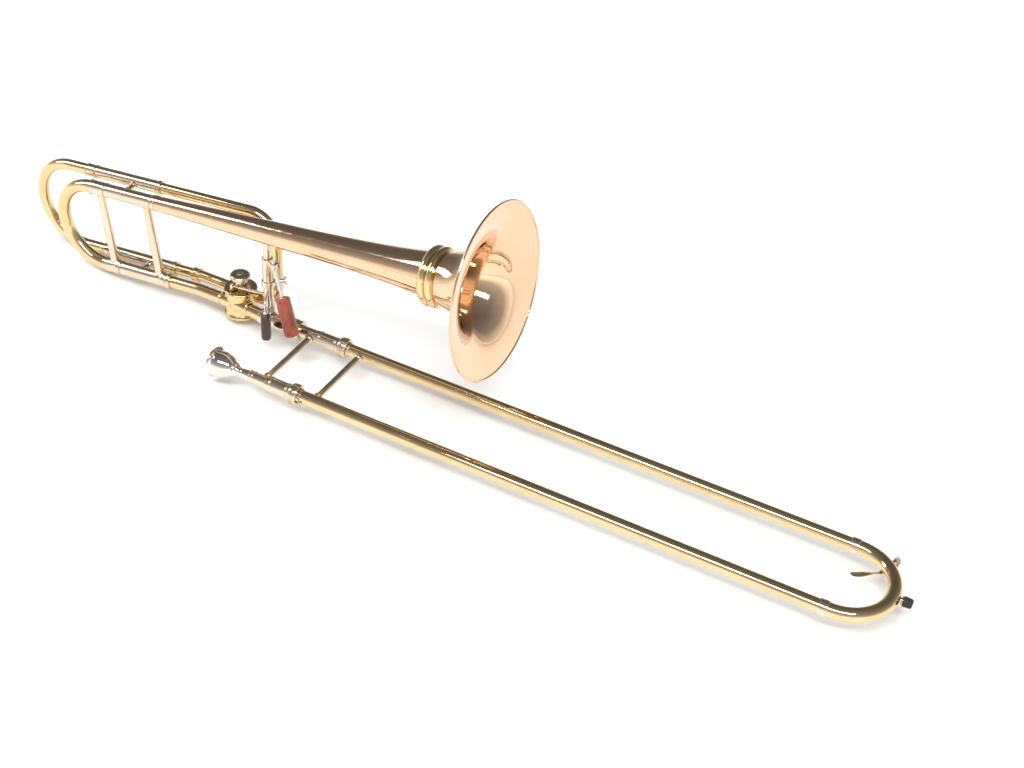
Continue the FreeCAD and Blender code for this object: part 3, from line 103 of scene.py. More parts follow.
def studio():
    world = bpy.data.worlds.new("studio")
    bpy.context.scene.world = world
    world.use_nodes = True
    nodes, links = world.node_tree.nodes, world.node_tree.links
    place = nodes.new("ShaderNodeTexCoord")
    split = nodes.new("ShaderNodeSeparateXYZ")
    links.new(place.outputs["Generated"], split.inputs[0])
    ramp = nodes.new("ShaderNodeValToRGB")
    links.new(split.outputs["Z"], ramp.inputs[0])
    ramp.color_ramp.elements[0].position = 0.0
    ramp.color_ramp.elements[0].color = (0.92, 0.91, 0.9, 1)
    ramp.color_ramp.elements[1].position = 0.75
    ramp.color_ramp.elements[1].color = (0.18, 0.18, 0.19, 1)
    middle = ramp.color_ramp.elements.new(0.28)
    middle.color = (0.34, 0.34, 0.35, 1)
    links.new(ramp.outputs[0], nodes["Background"].inputs[0])
    toward = nodes.new("ShaderNodeVectorMath")
    toward.operation = "DOT_PRODUCT"
    toward.inputs[1].default_value = (0.45, -0.89, 0.0)
    links.new(place.outputs["Generated"], toward.inputs[0])
    side = nodes.new("ShaderNodeMapRange")
    side.inputs["From Min"].default_value = -0.9
    side.inputs["From Max"].default_value = 0.9
    side.inputs["To Min"].default_value = 0.45
    side.inputs["To Max"].default_value = 1.9
    links.new(toward.outputs["Value"], side.inputs["Value"])
    below = nodes.new("ShaderNodeMapRange")
    below.inputs["From Min"].default_value = 0.0
    below.inputs["From Max"].default_value = 0.02
    below.inputs["To Min"].default_value = 1.25
    below.inputs["To Max"].default_value = 0.0
    links.new(split.outputs["Z"], below.inputs["Value"])
    level = nodes.new("ShaderNodeMath")
    level.operation = "MAXIMUM"
    links.new(side.outputs["Result"], level.inputs[0])
    links.new(below.outputs["Result"], level.inputs[1])
    links.new(level.outputs[0], nodes["Background"].inputs[1])
    soft_light("front_bank", (0.5, -1.6, 2.6), (0.1, 0, 0.1), (3.2, 0.5), 60)
    soft_light("fill_bank", (0, 0, 4.5), (0, 0, 0), (5, 5), 190, seen=False)
    soft_light("left_bank", (-2.6, -0.6, 1.5), (0, 0, 0.1), (0.7, 1.6), 22)


def floor():
    bpy.ops.mesh.primitive_grid_add(size=FLOOR_SIZE, x_subdivisions=8, y_subdivisions=8,
                                    location=(0, 0, -0.0005))
    ground = bpy.context.object
    ground.name = "floor"
    paper = bpy.data.materials.new("studio_paper")
    paper.use_nodes = True
    nodes, links = paper.node_tree.nodes, paper.node_tree.links
    shader = nodes["Principled BSDF"]
    shader.inputs["Base Color"].default_value = (0.93, 0.93, 0.925, 1)
    shader.inputs["Roughness"].default_value = 0.85
    ground.data.materials.append(paper)


# ---------------------------------------------------------------- finishes
def mixed(nodes, links, source, low, high, first, second):
    """A colour between two tints, led by a pattern's value between low and high."""
    ramp = nodes.new("ShaderNodeValToRGB")
    ramp.color_ramp.elements[0].position = low
    ramp.color_ramp.elements[0].color = (*first, 1)
    ramp.color_ramp.elements[1].position = high
    ramp.color_ramp.elements[1].color = (*second, 1)
    links.new(source, ramp.inputs[0])
    return ramp.outputs[0]


def grain(nodes, links, scale, detail=4.0, rough=0.5, stretch=(1, 1, 1), warp=0.0):
    """Cloudy pattern on the piece's own coordinates, in metres."""
    place = nodes.new("ShaderNodeTexCoord")
    turn = nodes.new("ShaderNodeMapping")
    turn.inputs["Scale"].default_value = stretch
    links.new(place.outputs["Object"], turn.inputs[0])
    noise = nodes.new("ShaderNodeTexNoise")
    noise.inputs["Scale"].default_value = scale
    noise.inputs["Detail"].default_value = detail
    noise.inputs["Roughness"].default_value = rough
    noise.inputs["Distortion"].default_value = warp
    links.new(turn.outputs[0], noise.inputs["Vector"])
    return noise.outputs["Fac"]


def ranged(nodes, links, source, low, high, bottom, top):
    """A pattern's value between low and high, stretched to bottom and top."""
    spread = nodes.new("ShaderNodeMapRange")
    spread.inputs["From Min"].default_value = low
    spread.inputs["From Max"].default_value = high
    spread.inputs["To Min"].default_value = bottom
    spread.inputs["To Max"].default_value = top
    links.new(source, spread.inputs["Value"])
    return spread.outputs[0]


def relief(nodes, links, source, strength, depth, under=None):
    bump = nodes.new("ShaderNodeBump")
    bump.inputs["Strength"].default_value = strength
    bump.inputs["Distance"].default_value = depth
    links.new(source, bump.inputs["Height"])
    if under is not None:
        links.new(under, bump.inputs["Normal"])
    return bump.outputs[0]


def metal(name, colour, worn, gloss, smudged, stretch=(1, 1, 1), lacquer=0.0, dent=0.25, lines=0.0):
    """Polished metal: two close tints, finger smudges, faint hammer waves and polishing lines."""
    made = bpy.data.materials.new(name)
    made.use_nodes = True
    nodes, links = made.node_tree.nodes, made.node_tree.links
    shader = nodes["Principled BSDF"]
    shader.inputs["Metallic"].default_value = 1.0
    shader.inputs["Coat Weight"].default_value = lacquer
    shader.inputs["Coat Roughness"].default_value = 0.04
    tone = grain(nodes, links, 14, 5, 0.6, stretch, 0.4)
    links.new(mixed(nodes, links, tone, 0.35, 0.68, colour, worn), shader.inputs["Base Color"])
    smudge = grain(nodes, links, 55, 6, 0.65, stretch, 1.2)
    links.new(ranged(nodes, links, smudge, 0.42, 0.72, gloss, smudged), shader.inputs["Roughness"])
    waves = grain(nodes, links, 32, 2, 0.4, stretch)
    surface = relief(nodes, links, waves, dent, 0.0006)
    if lines:
        brushed = grain(nodes, links, 900, 3, 0.6, (stretch[0] * 0.03, stretch[1], stretch[2]))
        surface = relief(nodes, links, brushed, lines, 0.00004, surface)
    links.new(surface, shader.inputs["Normal"])
    return made


def timber(name, dark, light, pale, gloss, direction):
    """Close-grained wood: long fibres and darker growth bands."""
    made = bpy.data.materials.new(name)
    made.use_nodes = True
    nodes, links = made.node_tree.nodes, made.node_tree.links
    shader = nodes["Principled BSDF"]
    shader.inputs["Coat Weight"].default_value = 0.25
    shader.inputs["Coat Roughness"].default_value = 0.25
    fibre = grain(nodes, links, 260, 5, 0.65, direction, 0.3)
    bands = grain(nodes, links, 90, 2, 0.5, direction, 1.5)
    base = mixed(nodes, links, fibre, 0.3, 0.7, dark, light)
    over = mixed(nodes, links, bands, 0.35, 0.65, dark, pale)
    blend = nodes.new("ShaderNodeMix")
    blend.data_type = "RGBA"
    blend.inputs[0].default_value = 0.45
    links.new(base, blend.inputs[6])
    links.new(over, blend.inputs[7])
    links.new(blend.outputs[2], shader.inputs["Base Color"])
    links.new(ranged(nodes, links, fibre, 0.3, 0.7, gloss + 0.12, gloss), shader.inputs["Roughness"])
    links.new(relief(nodes, links, fibre, 0.35, 0.0002), shader.inputs["Normal"])
    return made


def soft_matter(name, dark, light, rough, scale, depth):
    made = bpy.data.materials.new(name)
    made.use_nodes = True
    nodes, links = made.node_tree.nodes, made.node_tree.links
    shader = nodes["Principled BSDF"]
    speck = grain(nodes, links, scale, 5, 0.7)
    links.new(mixed(nodes, links, speck, 0.35, 0.65, dark, light), shader.inputs["Base Color"])
    links.new(ranged(nodes, links, speck, 0.3, 0.7, rough - 0.1, rough + 0.1), shader.inputs["Roughness"])
    links.new(relief(nodes, links, speck, 0.5, depth), shader.inputs["Normal"])
    return made


BRASS = metal("lacquered_brass", (0.80, 0.61, 0.34), (0.73, 0.54, 0.28), 0.055, 0.13, lacquer=0.15)
ROSE = metal("rose_brass", (0.82, 0.57, 0.37), (0.77, 0.52, 0.32), 0.06, 0.14, lacquer=0.15)
NICKEL = metal("nickel_silver", (0.78, 0.65, 0.49), (0.70, 0.58, 0.44), 0.12, 0.22, lines=0.15)
SILVER = metal("silver_plate", (0.74, 0.70, 0.65), (0.66, 0.63, 0.58), 0.04, 0.10)
STEEL = metal("plated_steel", (0.68, 0.66, 0.63), (0.58, 0.56, 0.54), 0.14, 0.25, lines=0.2)
RUBBER = soft_matter("black_rubber", (0.012, 0.010, 0.010), (0.03, 0.026, 0.025), 0.62, 900, 0.0001)
CORK = soft_matter("cork", (0.30, 0.17, 0.08), (0.62, 0.42, 0.24), 0.85, 1100, 0.0003)
UPRIGHT_GRAIN = (1, 1, 0.09)
RED_WOOD = timber("red_wood", (0.16, 0.022, 0.010), (0.42, 0.085, 0.035), (0.50, 0.12, 0.05), 0.32,
                  UPRIGHT_GRAIN)
DARK_WOOD = timber("dark_wood", (0.02, 0.009, 0.007), (0.075, 0.03, 0.022), (0.11, 0.05, 0.035), 0.34,
                   UPRIGHT_GRAIN)

FINISHES = {"yellow_brass": BRASS, "rose_brass": ROSE, "nickel_silver": NICKEL, "silver_plate": SILVER,
            "plated_steel": STEEL, "black_rubber": RUBBER, "cork": CORK, "red_wood": RED_WOOD,
            "dark_wood": DARK_WOOD}


def finish_cad_nodes():
    """Every CAD piece takes its maker's finish from the slot its record gives it."""
    slots = {}
    for subpart in frame["record"]["subparts"]:
        slots[subpart["node"]] = subpart["material_slot"]
    for name, node in frame["nodes"].items():
        node.data.materials.clear()
        node.data.materials.append(FINISHES[slots[name]])


# ---------------------------------------------------------------- bench tools
def clear_bench():
    bpy.ops.object.select_all(action="DESELECT")


def take_up(piece):
    """Only this piece is selected and worked on."""
    clear_bench()
    piece.select_set(True)
    bpy.context.view_layer.objects.active = piece


def settle(piece, foot, along, across=None):
    """The piece's own upright is laid along a direction, and its place goes into its mesh."""
    along = along.normalized()
    if across is None:
        turn = along.to_track_quat("Z", "Y").to_matrix()
    else:
        side = (across - along * across.dot(along)).normalized()
        turn = Matrix((side.cross(along), side, along)).transposed()
    take_up(piece)
    piece.matrix_world = Matrix.Translation(foot) @ turn.to_4x4()
    bpy.ops.object.transform_apply(location=True, rotation=True, scale=True)


def dress(piece, name, body, slot, finish=None, smooth_angle=35):
    """Name, finish, smooth shading and the body that carries the piece."""
    take_up(piece)
    piece.name = name
    piece.data.name = name
    piece.data.materials.clear()
    piece.data.materials.append(finish or FINISHES[slot])
    bpy.ops.object.shade_smooth_by_angle(angle=math.radians(smooth_angle))
    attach(piece, body)
    return piece


def eased(piece, width, segments=2):
    """Rounds a piece's sharp edges by a width in mm."""
    take_up(piece)
    bevel = piece.modifiers.new("ease", "BEVEL")
    bevel.width = width * MM
    bevel.segments = segments
    bevel.limit_method = "ANGLE"
    bevel.angle_limit = math.radians(30)
    bpy.ops.object.modifier_apply(modifier=bevel.name)


def turned(stations, sides=48, ring=False, ease=0.15):
    """Lathe work: a disc, or a band for a ring, drawn out through (distance, radius) stations in mm."""
    clear_bench()
    here, wide = stations[0]
    bpy.ops.mesh.primitive_circle_add(vertices=sides, radius=wide * MM,
                                      fill_type="NOTHING" if ring else "NGON")
    piece = bpy.context.object
    bpy.ops.object.mode_set(mode="EDIT")
    bpy.ops.mesh.select_mode(type="VERT")
    bpy.ops.mesh.select_all(action="SELECT")
    bpy.ops.transform.translate(value=(0, 0, here * MM))
    later = stations[1:] + stations[:1] if ring else stations[1:]
    for station, reach in later:
        bpy.ops.mesh.extrude_region_move(TRANSFORM_OT_translate={"value": (0, 0, (station - here) * MM)})
        bpy.ops.transform.resize(value=(reach / wide, reach / wide, 1), center_override=(0, 0, 0))
        here, wide = station, reach
    bpy.ops.mesh.select_all(action="SELECT")
    bpy.ops.mesh.remove_doubles(threshold=0.000001)
    bpy.ops.mesh.normals_make_consistent(inside=False)
    bpy.ops.object.mode_set(mode="OBJECT")
    if ease:
        eased(piece, ease)
    return piece


def knurl(piece, depth, teeth, reach):
    """Raises every other face of a ring's outer wall, from a radius in mm outwards."""
    take_up(piece)
    bpy.ops.object.mode_set(mode="EDIT")
    bpy.ops.mesh.select_mode(type="FACE")
    bpy.ops.mesh.select_all(action="DESELECT")
    bpy.ops.object.mode_set(mode="OBJECT")
    for face in piece.data.polygons:
        flat = face.center.to_2d()
        tooth = int((math.atan2(flat.y, flat.x) / math.tau) % 1 * teeth * 2)
        outside = abs(face.normal.z) < 0.3 and face.normal.to_2d().dot(flat) > 0
        face.select = outside and flat.length > reach * MM and tooth % 2 == 0
    bpy.ops.object.mode_set(mode="EDIT")
    bpy.ops.mesh.extrude_faces_move(TRANSFORM_OT_shrink_fatten={"value": depth * MM})
    bpy.ops.transform.resize(value=(1, 1, 0.9), center_override=tuple(middle_of(piece)))
    bpy.ops.object.mode_set(mode="OBJECT")
    return piece


def middle_of(piece):
    corners = [Vector(corner) for corner in piece.bound_box]
    return sum(corners, Vector()) / len(corners)


def knurled_ring(bore, outer, width, teeth, depth=0.25):
    stations = [(0, bore), (0, outer), (width, outer), (width, bore)]
    return knurl(turned(stations, teeth * 2, True, 0), depth, teeth, outer - 0.2)


def slotted_head(radius, height):
    """Domed screw head with its driver slot sawn across."""
    head = turned([(0, radius), (height * 0.55, radius), (height * 0.85, radius * 0.86),
                   (height, radius * 0.5)], 28, False, 0.06)
    clear_bench()
    bpy.ops.mesh.primitive_cube_add(size=1, location=(0, 0, height * MM))
    saw = bpy.context.object
    saw.scale = (radius * 3 * MM, radius * 0.28 * MM, height * 0.8 * MM)
    take_up(head)
    cut = head.modifiers.new("slot", "BOOLEAN")
    cut.object = saw
    cut.solver = "EXACT"
    bpy.ops.object.modifier_apply(modifier=cut.name)
    bpy.data.objects.remove(saw)
    return head


def coil(radius, wire, turns, length):
    """Wound spring, standing on its end."""
    clear_bench()
    bpy.ops.mesh.primitive_circle_add(vertices=10, radius=wire * MM, location=(radius * MM, 0, 0),
                                      rotation=(math.pi / 2, 0, 0))
    piece = bpy.context.object
    bpy.ops.object.transform_apply(location=True, rotation=True, scale=True)
    wind = piece.modifiers.new("wind", "SCREW")
    wind.axis = "Z"
    wind.screw_offset = length / turns * MM
    wind.iterations = turns
    wind.steps = wind.render_steps = 24
    bpy.ops.object.modifier_apply(modifier=wind.name)
    bpy.ops.object.mode_set(mode="EDIT")
    bpy.ops.mesh.select_all(action="SELECT")
    bpy.ops.mesh.remove_doubles(threshold=0.000001)
    bpy.ops.mesh.fill_holes(sides=0)
    bpy.ops.mesh.normals_make_consistent(inside=False)
    bpy.ops.object.mode_set(mode="OBJECT")
    return piece


def forged(stations, sides=16, levels=1):
    """Bar drawn upwards through (distance, offset, half width, half thickness) stations in mm."""
    clear_bench()
    here, rise, half, thick = stations[0]
    bpy.ops.mesh.primitive_circle_add(vertices=sides, radius=MM, fill_type="NGON")
    piece = bpy.context.object
    bpy.ops.object.mode_set(mode="EDIT")
    bpy.ops.mesh.select_all(action="SELECT")
    bpy.ops.transform.resize(value=(half, thick, 1), center_override=(0, 0, 0))
    bpy.ops.transform.translate(value=(0, rise * MM, here * MM))
    for station, offset, wide, deep in stations[1:]:
        move = (0, (offset - rise) * MM, (station - here) * MM)
        bpy.ops.mesh.extrude_region_move(TRANSFORM_OT_translate={"value": move})
        bpy.ops.transform.resize(value=(wide / half, deep / thick, 1),
                                 center_override=(0, offset * MM, station * MM))
        here, rise, half, thick = station, offset, wide, deep
    bpy.ops.mesh.select_all(action="SELECT")
    bpy.ops.mesh.normals_make_consistent(inside=False)
    bpy.ops.object.mode_set(mode="OBJECT")
    round_off = piece.modifiers.new("round", "SUBSURF")
    round_off.levels = round_off.render_levels = levels
    bpy.ops.object.modifier_apply(modifier=round_off.name)
    return piece


def copies(master, slot, places):
    """One finished master set out at several places, each copy with its own mesh."""
    for name, foot, along, body in places:
        take_up(master)
        bpy.ops.object.duplicate(linked=False)
        copy = bpy.context.object
        settle(copy, foot, along)
        dress(copy, name, body, slot)
    bpy.data.objects.remove(master)


def joined(pieces):
    clear_bench()
    for piece in pieces:
        piece.select_set(True)
    bpy.context.view_layer.objects.active = pieces[0]
    bpy.ops.object.join()
    return pieces[0]


# ---------------------------------------------------------------- places on the horn
def near_tube(x):
    return SLIDE_MOUTH + AXIS_X * x * MM


def far_tube(x):
    return near_tube(x) + AXIS_Y * SLIDE_GAP


def bell_line(station, rise=0.0):
    """Point at a station along the bell's axis, in mm, and raised across it."""
    return BELL_RING + BELL_DIR * (station - RING_STATION) * MM + BELL_UP * rise * MM


def about(centre, degrees, reach, height):
    """Point beside an upright axis, at a turn and a reach, and at a height in metres."""
    turn = math.radians(degrees)
    return Vector((centre.x + reach * MM * math.cos(turn), centre.y + reach * MM * math.sin(turn), height))


def top_of(node):
    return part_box(node)[1].z


def bottom_of(node):
    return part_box(node)[0].z


def middle_node(node):
    low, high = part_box(node)
    return (low + high) / 2


# ---------------------------------------------------------------- hand slide
def barrel_fittings():
    """Wide knurled collars over both barrel mouths, and two double beads along each barrel."""
    collar = turned([(0, 9.4), (0, 11.4), (0.6, 12.0), (1.4, 12.3), (9.8, 12.3), (10.6, 12.0), (11.2, 11.4),
                     (11.2, 9.4)], 64, True, 0.15)
    places = [("lock_ring_collar", near_tube(-11.6), AXIS_X, "slide_lock_ring"),
              ("far_ring_collar", far_tube(-11.6), AXIS_X, "inner_slide")]
    copies(collar, "nickel_silver", places)
    places = [("lock_ring_knurl", near_tube(-9.6), AXIS_X, "slide_lock_ring"),
              ("far_ring_knurl", far_tube(-9.6), AXIS_X, "inner_slide")]
    copies(knurled_ring(12.2, 12.55, 7.2, 48), "nickel_silver", places)
    bead = turned([(0, 8.9), (0, 9.25), (0.5, 9.75), (1.1, 9.3), (1.7, 9.75), (2.3, 9.25), (2.3, 8.9)],
                  56, True, 0.12)
    places = [("near_barrel_bead", near_tube(-40.5), AXIS_X, "inner_slide"),
              ("far_barrel_bead", far_tube(-40.5), AXIS_X, "inner_slide"),
              ("near_barrel_band", near_tube(-17.5), AXIS_X, "inner_slide"),
              ("far_barrel_band", far_tube(-17.5), AXIS_X, "inner_slide")]
    copies(bead, "nickel_silver", places)


def brace_collar(bore):
    """Turned collar at a stay's end: a flat flange and one round bead."""
    return turned([(0, bore - 0.1), (0, bore + 1.5), (0.7, bore + 1.5), (1.1, bore + 0.6), (1.8, bore + 1.05),
                   (2.5, bore + 0.5), (2.8, bore + 0.1), (2.8, bore - 0.1)], 40, True, 0.12)


def brace_collars():
    inner, outer = middle_node("inner_slide_brace"), middle_node("outer_slide_brace")
    places = []
    for brace, start, body in (("inner", Vector((inner.x, SLIDE_MOUTH.y, SLIDE_MOUTH.z)), "inner_slide"),
                               ("outer", Vector((outer.x, SLIDE_MOUTH.y, SLIDE_MOUTH.z)), "outer_slide")):
        end = start + AXIS_Y * SLIDE_GAP
        places.append((brace + "_brace_near_collar", start + AXIS_Y * 9.0 * MM, AXIS_Y, body))
        places.append((brace + "_brace_far_collar", end - AXIS_Y * 9.3 * MM, -AXIS_Y, body))
    copies(brace_collar(SLIDE_STAY), "nickel_silver", places)
    places = []
    for node, body in (("tuning_slide_brace", "tuning_slide"), ("rear_bell_brace", "bell_section")):
        centre = middle_node(node)
        half = (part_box(node)[1].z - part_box(node)[0].z) / 2 - STAY_COLLAR_INSET * MM
        places.append((node + "_top_collar", centre + BELL_UP * half, -BELL_UP, body))
        places.append((node + "_foot_collar", centre - BELL_UP * half, BELL_UP, body))
    copies(brace_collar(BELL_STAY), "nickel_silver", places)


def bow_fittings():
    """Washer behind the bumper, and the water key with its hinge screw, nut and spring."""
    socket_low, socket_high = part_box("bumper_socket")
    face = Vector((socket_high.x - 0.4 * MM, (socket_low.y + socket_high.y) / 2, SLIDE_MOUTH.z))
    washer = turned([(0, 3.2), (0, 5.4), (0.5, 5.6), (1.0, 5.2), (1.0, 3.2)], 40, True, 0.1)
    settle(washer, face - AXIS_X * 0.9 * MM, AXIS_X)
    dress(washer, "bumper_washer", "outer_slide", "nickel_silver")
    pin = KEY_PIN
    screw = slotted_head(1.9, 1.0)
    settle(screw, pin + KEY_SIDE * 4.2 * MM, KEY_SIDE)
    dress(screw, "key_hinge_screw", "outer_slide", "plated_steel")
    nut = turned([(0, 1.7), (1.1, 1.7)], 6, False, 0.15)
    settle(nut, pin - KEY_SIDE * 4.2 * MM, -KEY_SIDE)
    dress(nut, "key_hinge_nut", "outer_slide", "plated_steel")
    spring = coil(2.1, 0.3, 4, 2.6)
    settle(spring, pin - KEY_SIDE * 8.0 * MM, KEY_SIDE)
    dress(spring, "key_spring", "outer_slide", "plated_steel")


def water_key():
    """Forged lever: a leaf-shaped finger plate, a slim neck, and a cup over the vent."""
    lever = forged([(-46.4, 14.7, 1.3, 0.35), (-45.6, 14.4, 2.7, 0.55), (-42.0, 13.2, 4.2, 0.65),
                    (-36.0, 11.3, 4.6, 0.7), (-29.0, 9.1, 4.0, 0.75), (-22.0, 6.9, 2.7, 0.85),
                    (-15.0, 4.7, 1.9, 1.0), (-9.0, 2.6, 1.8, 1.1), (-4.0, 0.9, 2.2, 1.3),
                    (0.0, 0.0, 2.4, 2.1), (4.0, 0.4, 2.2, 1.3), (10.0, 1.6, 2.0, 1.0),
                    (15.0, 2.4, 2.0, 0.9), (17.6, 3.4, 2.0, 0.9)], 16, 2)
    settle(lever, KEY_PIN, KEY_OUT, AXIS_Z)
    arm = forged([(2.6, 0.0, 2.0, 0.5), (3.0, 0.0, 2.1, 0.8), (8.0, 0.0, 1.9, 0.8), (13.4, 0.0, 1.9, 0.7),
                  (14.4, 0.0, 1.0, 0.4)], 16, 2)
    settle(arm, KEY_PIN + KEY_OUT * 17.2 * MM, AXIS_Z, KEY_OUT)
    cup = turned([(0, 1.6), (0.2, 3.2), (0.7, 4.2), (1.7, 4.3), (1.7, 3.9)], 40, False, 0.1)
    settle(cup, KEY_PIN + KEY_OUT * 17.4 * MM + AXIS_Z * KEY_DROP, -KEY_OUT)
    lever = joined([lever, arm, cup])
    dress(lever, "water_key_forging", "water_key", "nickel_silver", smooth_angle=50)
    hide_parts("water_key_lever")


# ---------------------------------------------------------------- bell section
def bell_fittings():
    """A bead on each screw ring, and a collar at each end of the front strut."""
    bead = turned([(0, 32.6), (0, 33.9), (0.5, 34.4), (1.0, 33.9), (1.0, 32.6)], 96, True, 0.12)
    places = [("tail_ring_bead", bell_line(RING_STATION - 9.4), BELL_DIR, "bell_section"),
              ("flare_ring_bead", bell_line(RING_STATION + 8.8), BELL_DIR, "bell_flare")]
    copies(bead, "yellow_brass", places)
    strut = Vector((STRUT.x, STRUT.y, 0))
    foot = top_of("slide_receiver")
    head = top_of("front_strut")
    places = [("strut_foot_collar", strut + AXIS_Z * (foot + 1.1 * MM), AXIS_Z, "bell_section"),
              ("strut_head_collar", strut + AXIS_Z * (head - 2.0 * MM), -AXIS_Z, "bell_section")]
    copies(brace_collar(STRUT_RADIUS), "nickel_silver", places)


def valve_fittings():
    """Casing rims, port collars, knurls, screws and the linkage's ball studs."""
    axis = Vector((VALVE.x, VALVE.y, 0))
    rim = turned([(0, 19.8), (0, 20.5), (0.5, 20.9), (1.1, 20.4), (1.5, 20.8), (2.0, 20.2), (2.0, 19.8)],
                 80, True, 0.1)
    places = [("casing_top_rim", axis + AXIS_Z * (top_of("valve_casing") - 2.0 * MM), AXIS_Z, "bell_section"),
              ("casing_foot_rim", axis + AXIS_Z * (bottom_of("valve_casing") + 2.0 * MM), -AXIS_Z,
               "bell_section")]
    copies(rim, "yellow_brass", places)
    for name, side, across, bore in (("rear_near", -1, -1, 7.6), ("front_near", 1, -1, 8.0),
                                     ("rear_far", -1, 1, 7.0), ("front_far", 1, 1, 7.0)):
        reach = 16.6 if name == "front_far" else 19.6
        collar = turned([(0, bore - 0.1), (0, bore + 0.8), (0.5, bore + 1.2), (1.2, bore + 0.6),
                         (2.2, bore + 0.5), (2.2, bore - 0.1)], 56, True, 0.1)
        middle = VALVE + Vector((side * reach, across * PORT_OFFSET, 0)) * MM
        middle.z = PORT_LEVEL
        settle(collar, middle, AXIS_X * side)
        dress(collar, name + "_port_collar", "bell_section", "yellow_brass")
    knob_top = top_of("rotor_knob")
    edge = knurled_ring(12.1, 12.35, 2.4, 60, 0.2)
    settle(edge, axis + AXIS_Z * (knob_top - 4.0 * MM), AXIS_Z)
    dress(edge, "knob_knurl", "rotor", "nickel_silver")
    slot = slotted_head(3.4, 0.9)
    settle(slot, axis + AXIS_Z * (knob_top - 0.25 * MM), AXIS_Z)
    dress(slot, "knob_screw", "rotor", "nickel_silver")
    cap_grip = knurled_ring(20.9, 21.15, 2.0, 72, 0.2)
    settle(cap_grip, axis + AXIS_Z * (bottom_of("valve_cap") + 1.1 * MM), AXIS_Z)
    dress(cap_grip, "valve_cap_knurl", "valve_cap", "yellow_brass")
    boss = turned([(0, 7.0), (0.3, 6.6), (0.3, 4.6), (0.8, 4.2), (0.9, 1.5)], 56, False, 0.08)
    settle(boss, axis + AXIS_Z * bottom_of("valve_cap"), -AXIS_Z)
    dress(boss, "valve_cap_boss", "valve_cap", "yellow_brass")
    screws = [("stop_plate_screw_1", about(VALVE, 80, 14.2, top_of("valve_casing")), AXIS_Z, "bell_section"),
              ("stop_plate_screw_2", about(VALVE, 150, 14.2, top_of("valve_casing")), AXIS_Z, "bell_section")]
    copies(slotted_head(1.9, 0.9), "plated_steel", screws)
    balls = [("near_ball_screw", about(VALVE, -110, 12.5, top_of("stop_arm") - 0.1 * MM), AXIS_Z, "rotor"),
             ("far_ball_screw", about(STRUT, 145, 16.0, top_of("link_rod") - 0.1 * MM), AXIS_Z, "link")]
    copies(slotted_head(2.3, 1.1), "plated_steel", balls)


def trigger_fittings():
    """Return spring under the hub, and the paddle's ferrule and pins."""
    strut = Vector((STRUT.x, STRUT.y, 0))
    start = top_of("slide_receiver") + 4.2 * MM
    room = (bottom_of("trigger_hub") - start) / MM
    spring = coil(5.9, 0.42, 6, room - 0.6)
    settle(spring, strut + AXIS_Z * start, AXIS_Z)
    dress(spring, "trigger_spring", "bell_section", "plated_steel")
    paddle = middle_node("trigger_paddle")
    top = top_of("trigger_paddle")
    ferrule = turned([(0, 2.9), (0.5, 3.0), (1.0, 2.5), (2.6, 2.2), (3.2, 1.7)], 32, False, 0.12)
    settle(ferrule, Vector((paddle.x, paddle.y, top - 0.4 * MM)), AXIS_Z)
    dress(ferrule, "paddle_ferrule", "trigger", "nickel_silver")
    out = Vector((paddle.x - STRUT.x, paddle.y - STRUT.y, 0)).normalized()
    flat = AXIS_Z.cross(out)
    pins = []
    for number, (drop, side) in enumerate(((9.0, 1), (9.0, -1), (16.0, 1), (16.0, -1))):
        foot = Vector((paddle.x, paddle.y, top - drop * MM)) + flat * side * PADDLE_PIN_REACH * MM
        pins.append(("paddle_pin_%d" % (number + 1), foot, flat * side, "trigger"))
    copies(turned([(0, 1.3), (0.25, 1.25), (0.45, 0.8)], 20, False, 0.05), "yellow_brass", pins)


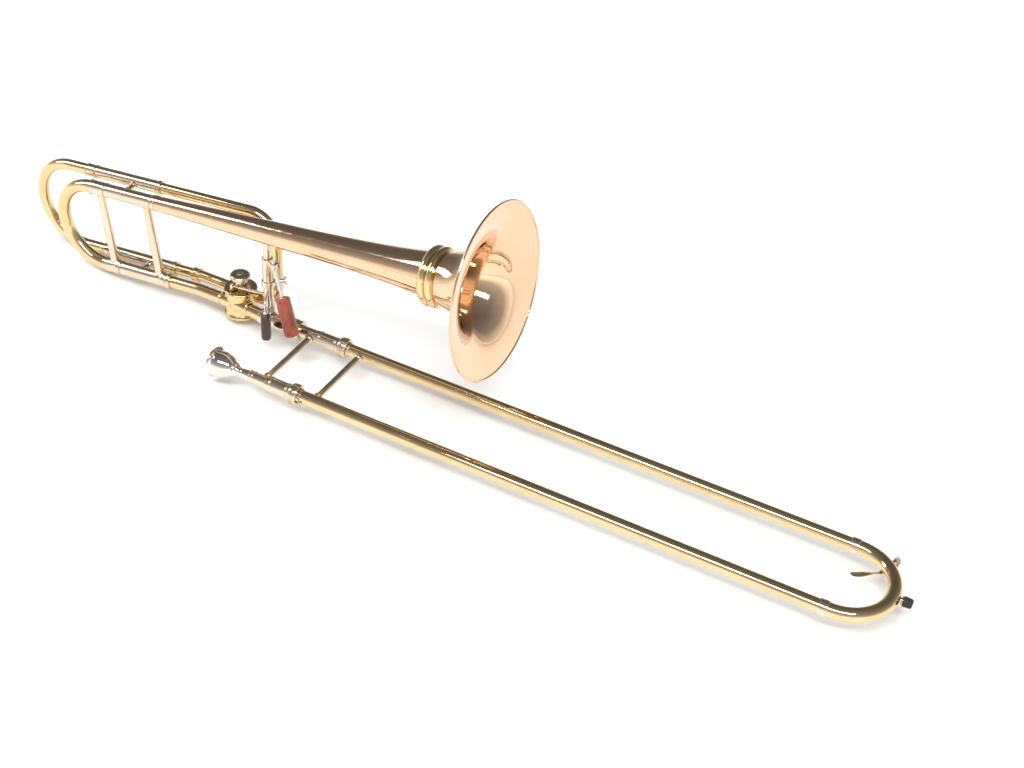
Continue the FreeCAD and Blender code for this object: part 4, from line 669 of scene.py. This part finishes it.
def hand_rest_fittings():
    """Knurled thumbscrew, the rod's collars and the clamp's own screw."""
    screw_line = Vector(JOINTS["hand_rest_screw_turn"]["axis"])
    head = STRUT.copy()
    head.z = JOINTS["hand_rest_screw_turn"]["pos_m"][2]
    grip = knurled_ring(4.4, 4.65, 1.8, 24, 0.25)
    settle(grip, head + screw_line * 20.1 * MM, screw_line)
    dress(grip, "thumbscrew_knurl", "hand_rest_screw", "nickel_silver")
    cap = turned([(0, 3.6), (0.3, 3.4), (0.5, 1.4)], 32, False, 0.06)
    settle(cap, head + screw_line * 22.2 * MM, screw_line)
    dress(cap, "thumbscrew_face", "hand_rest_screw", "nickel_silver")
    clamp = slotted_head(1.9, 0.9)
    settle(clamp, head - screw_line * 8.0 * MM, -screw_line)
    dress(clamp, "clamp_screw", "hand_rest", "plated_steel")
    rod_line = REST_LINE
    shoulder = turned([(0, 4.4), (0.5, 4.6), (1.1, 4.2), (2.0, 3.2), (2.6, 3.4), (3.2, 2.4)], 40, False, 0.12)
    settle(shoulder, REST_GRIP_TOP + rod_line * 0.4 * MM, -rod_line)
    dress(shoulder, "grip_collar", "hand_rest", "nickel_silver")
    tip = turned([(0, 3.4), (0.4, 3.5), (1.0, 2.8), (1.3, 1.2)], 32, False, 0.1)
    settle(tip, REST_GRIP_FOOT - rod_line * 0.2 * MM, rod_line)
    dress(tip, "grip_end_button", "hand_rest", "nickel_silver")


def ends_of(node):
    """The two end centres of a long round node: the mean of its points furthest up and furthest down."""
    points = [vertex.co for vertex in frame["nodes"][node].data.vertices]
    low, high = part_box(node)
    span = high.z - low.z
    top = [point for point in points if point.z > high.z - 0.12 * span]
    foot = [point for point in points if point.z < low.z + 0.12 * span]
    return sum(top, Vector()) / len(top), sum(foot, Vector()) / len(foot)


place_camera()
studio()
floor()
finish_cad_nodes()
REST_GRIP_TOP, REST_GRIP_FOOT = ends_of("hand_rest_grip")
REST_LINE = (REST_GRIP_FOOT - REST_GRIP_TOP).normalized()
barrel_fittings()
brace_collars()
bow_fittings()
water_key()
bell_fittings()
valve_fittings()
trigger_fittings()
hand_rest_fittings()
bpy.context.scene.view_settings.view_transform = "Standard"
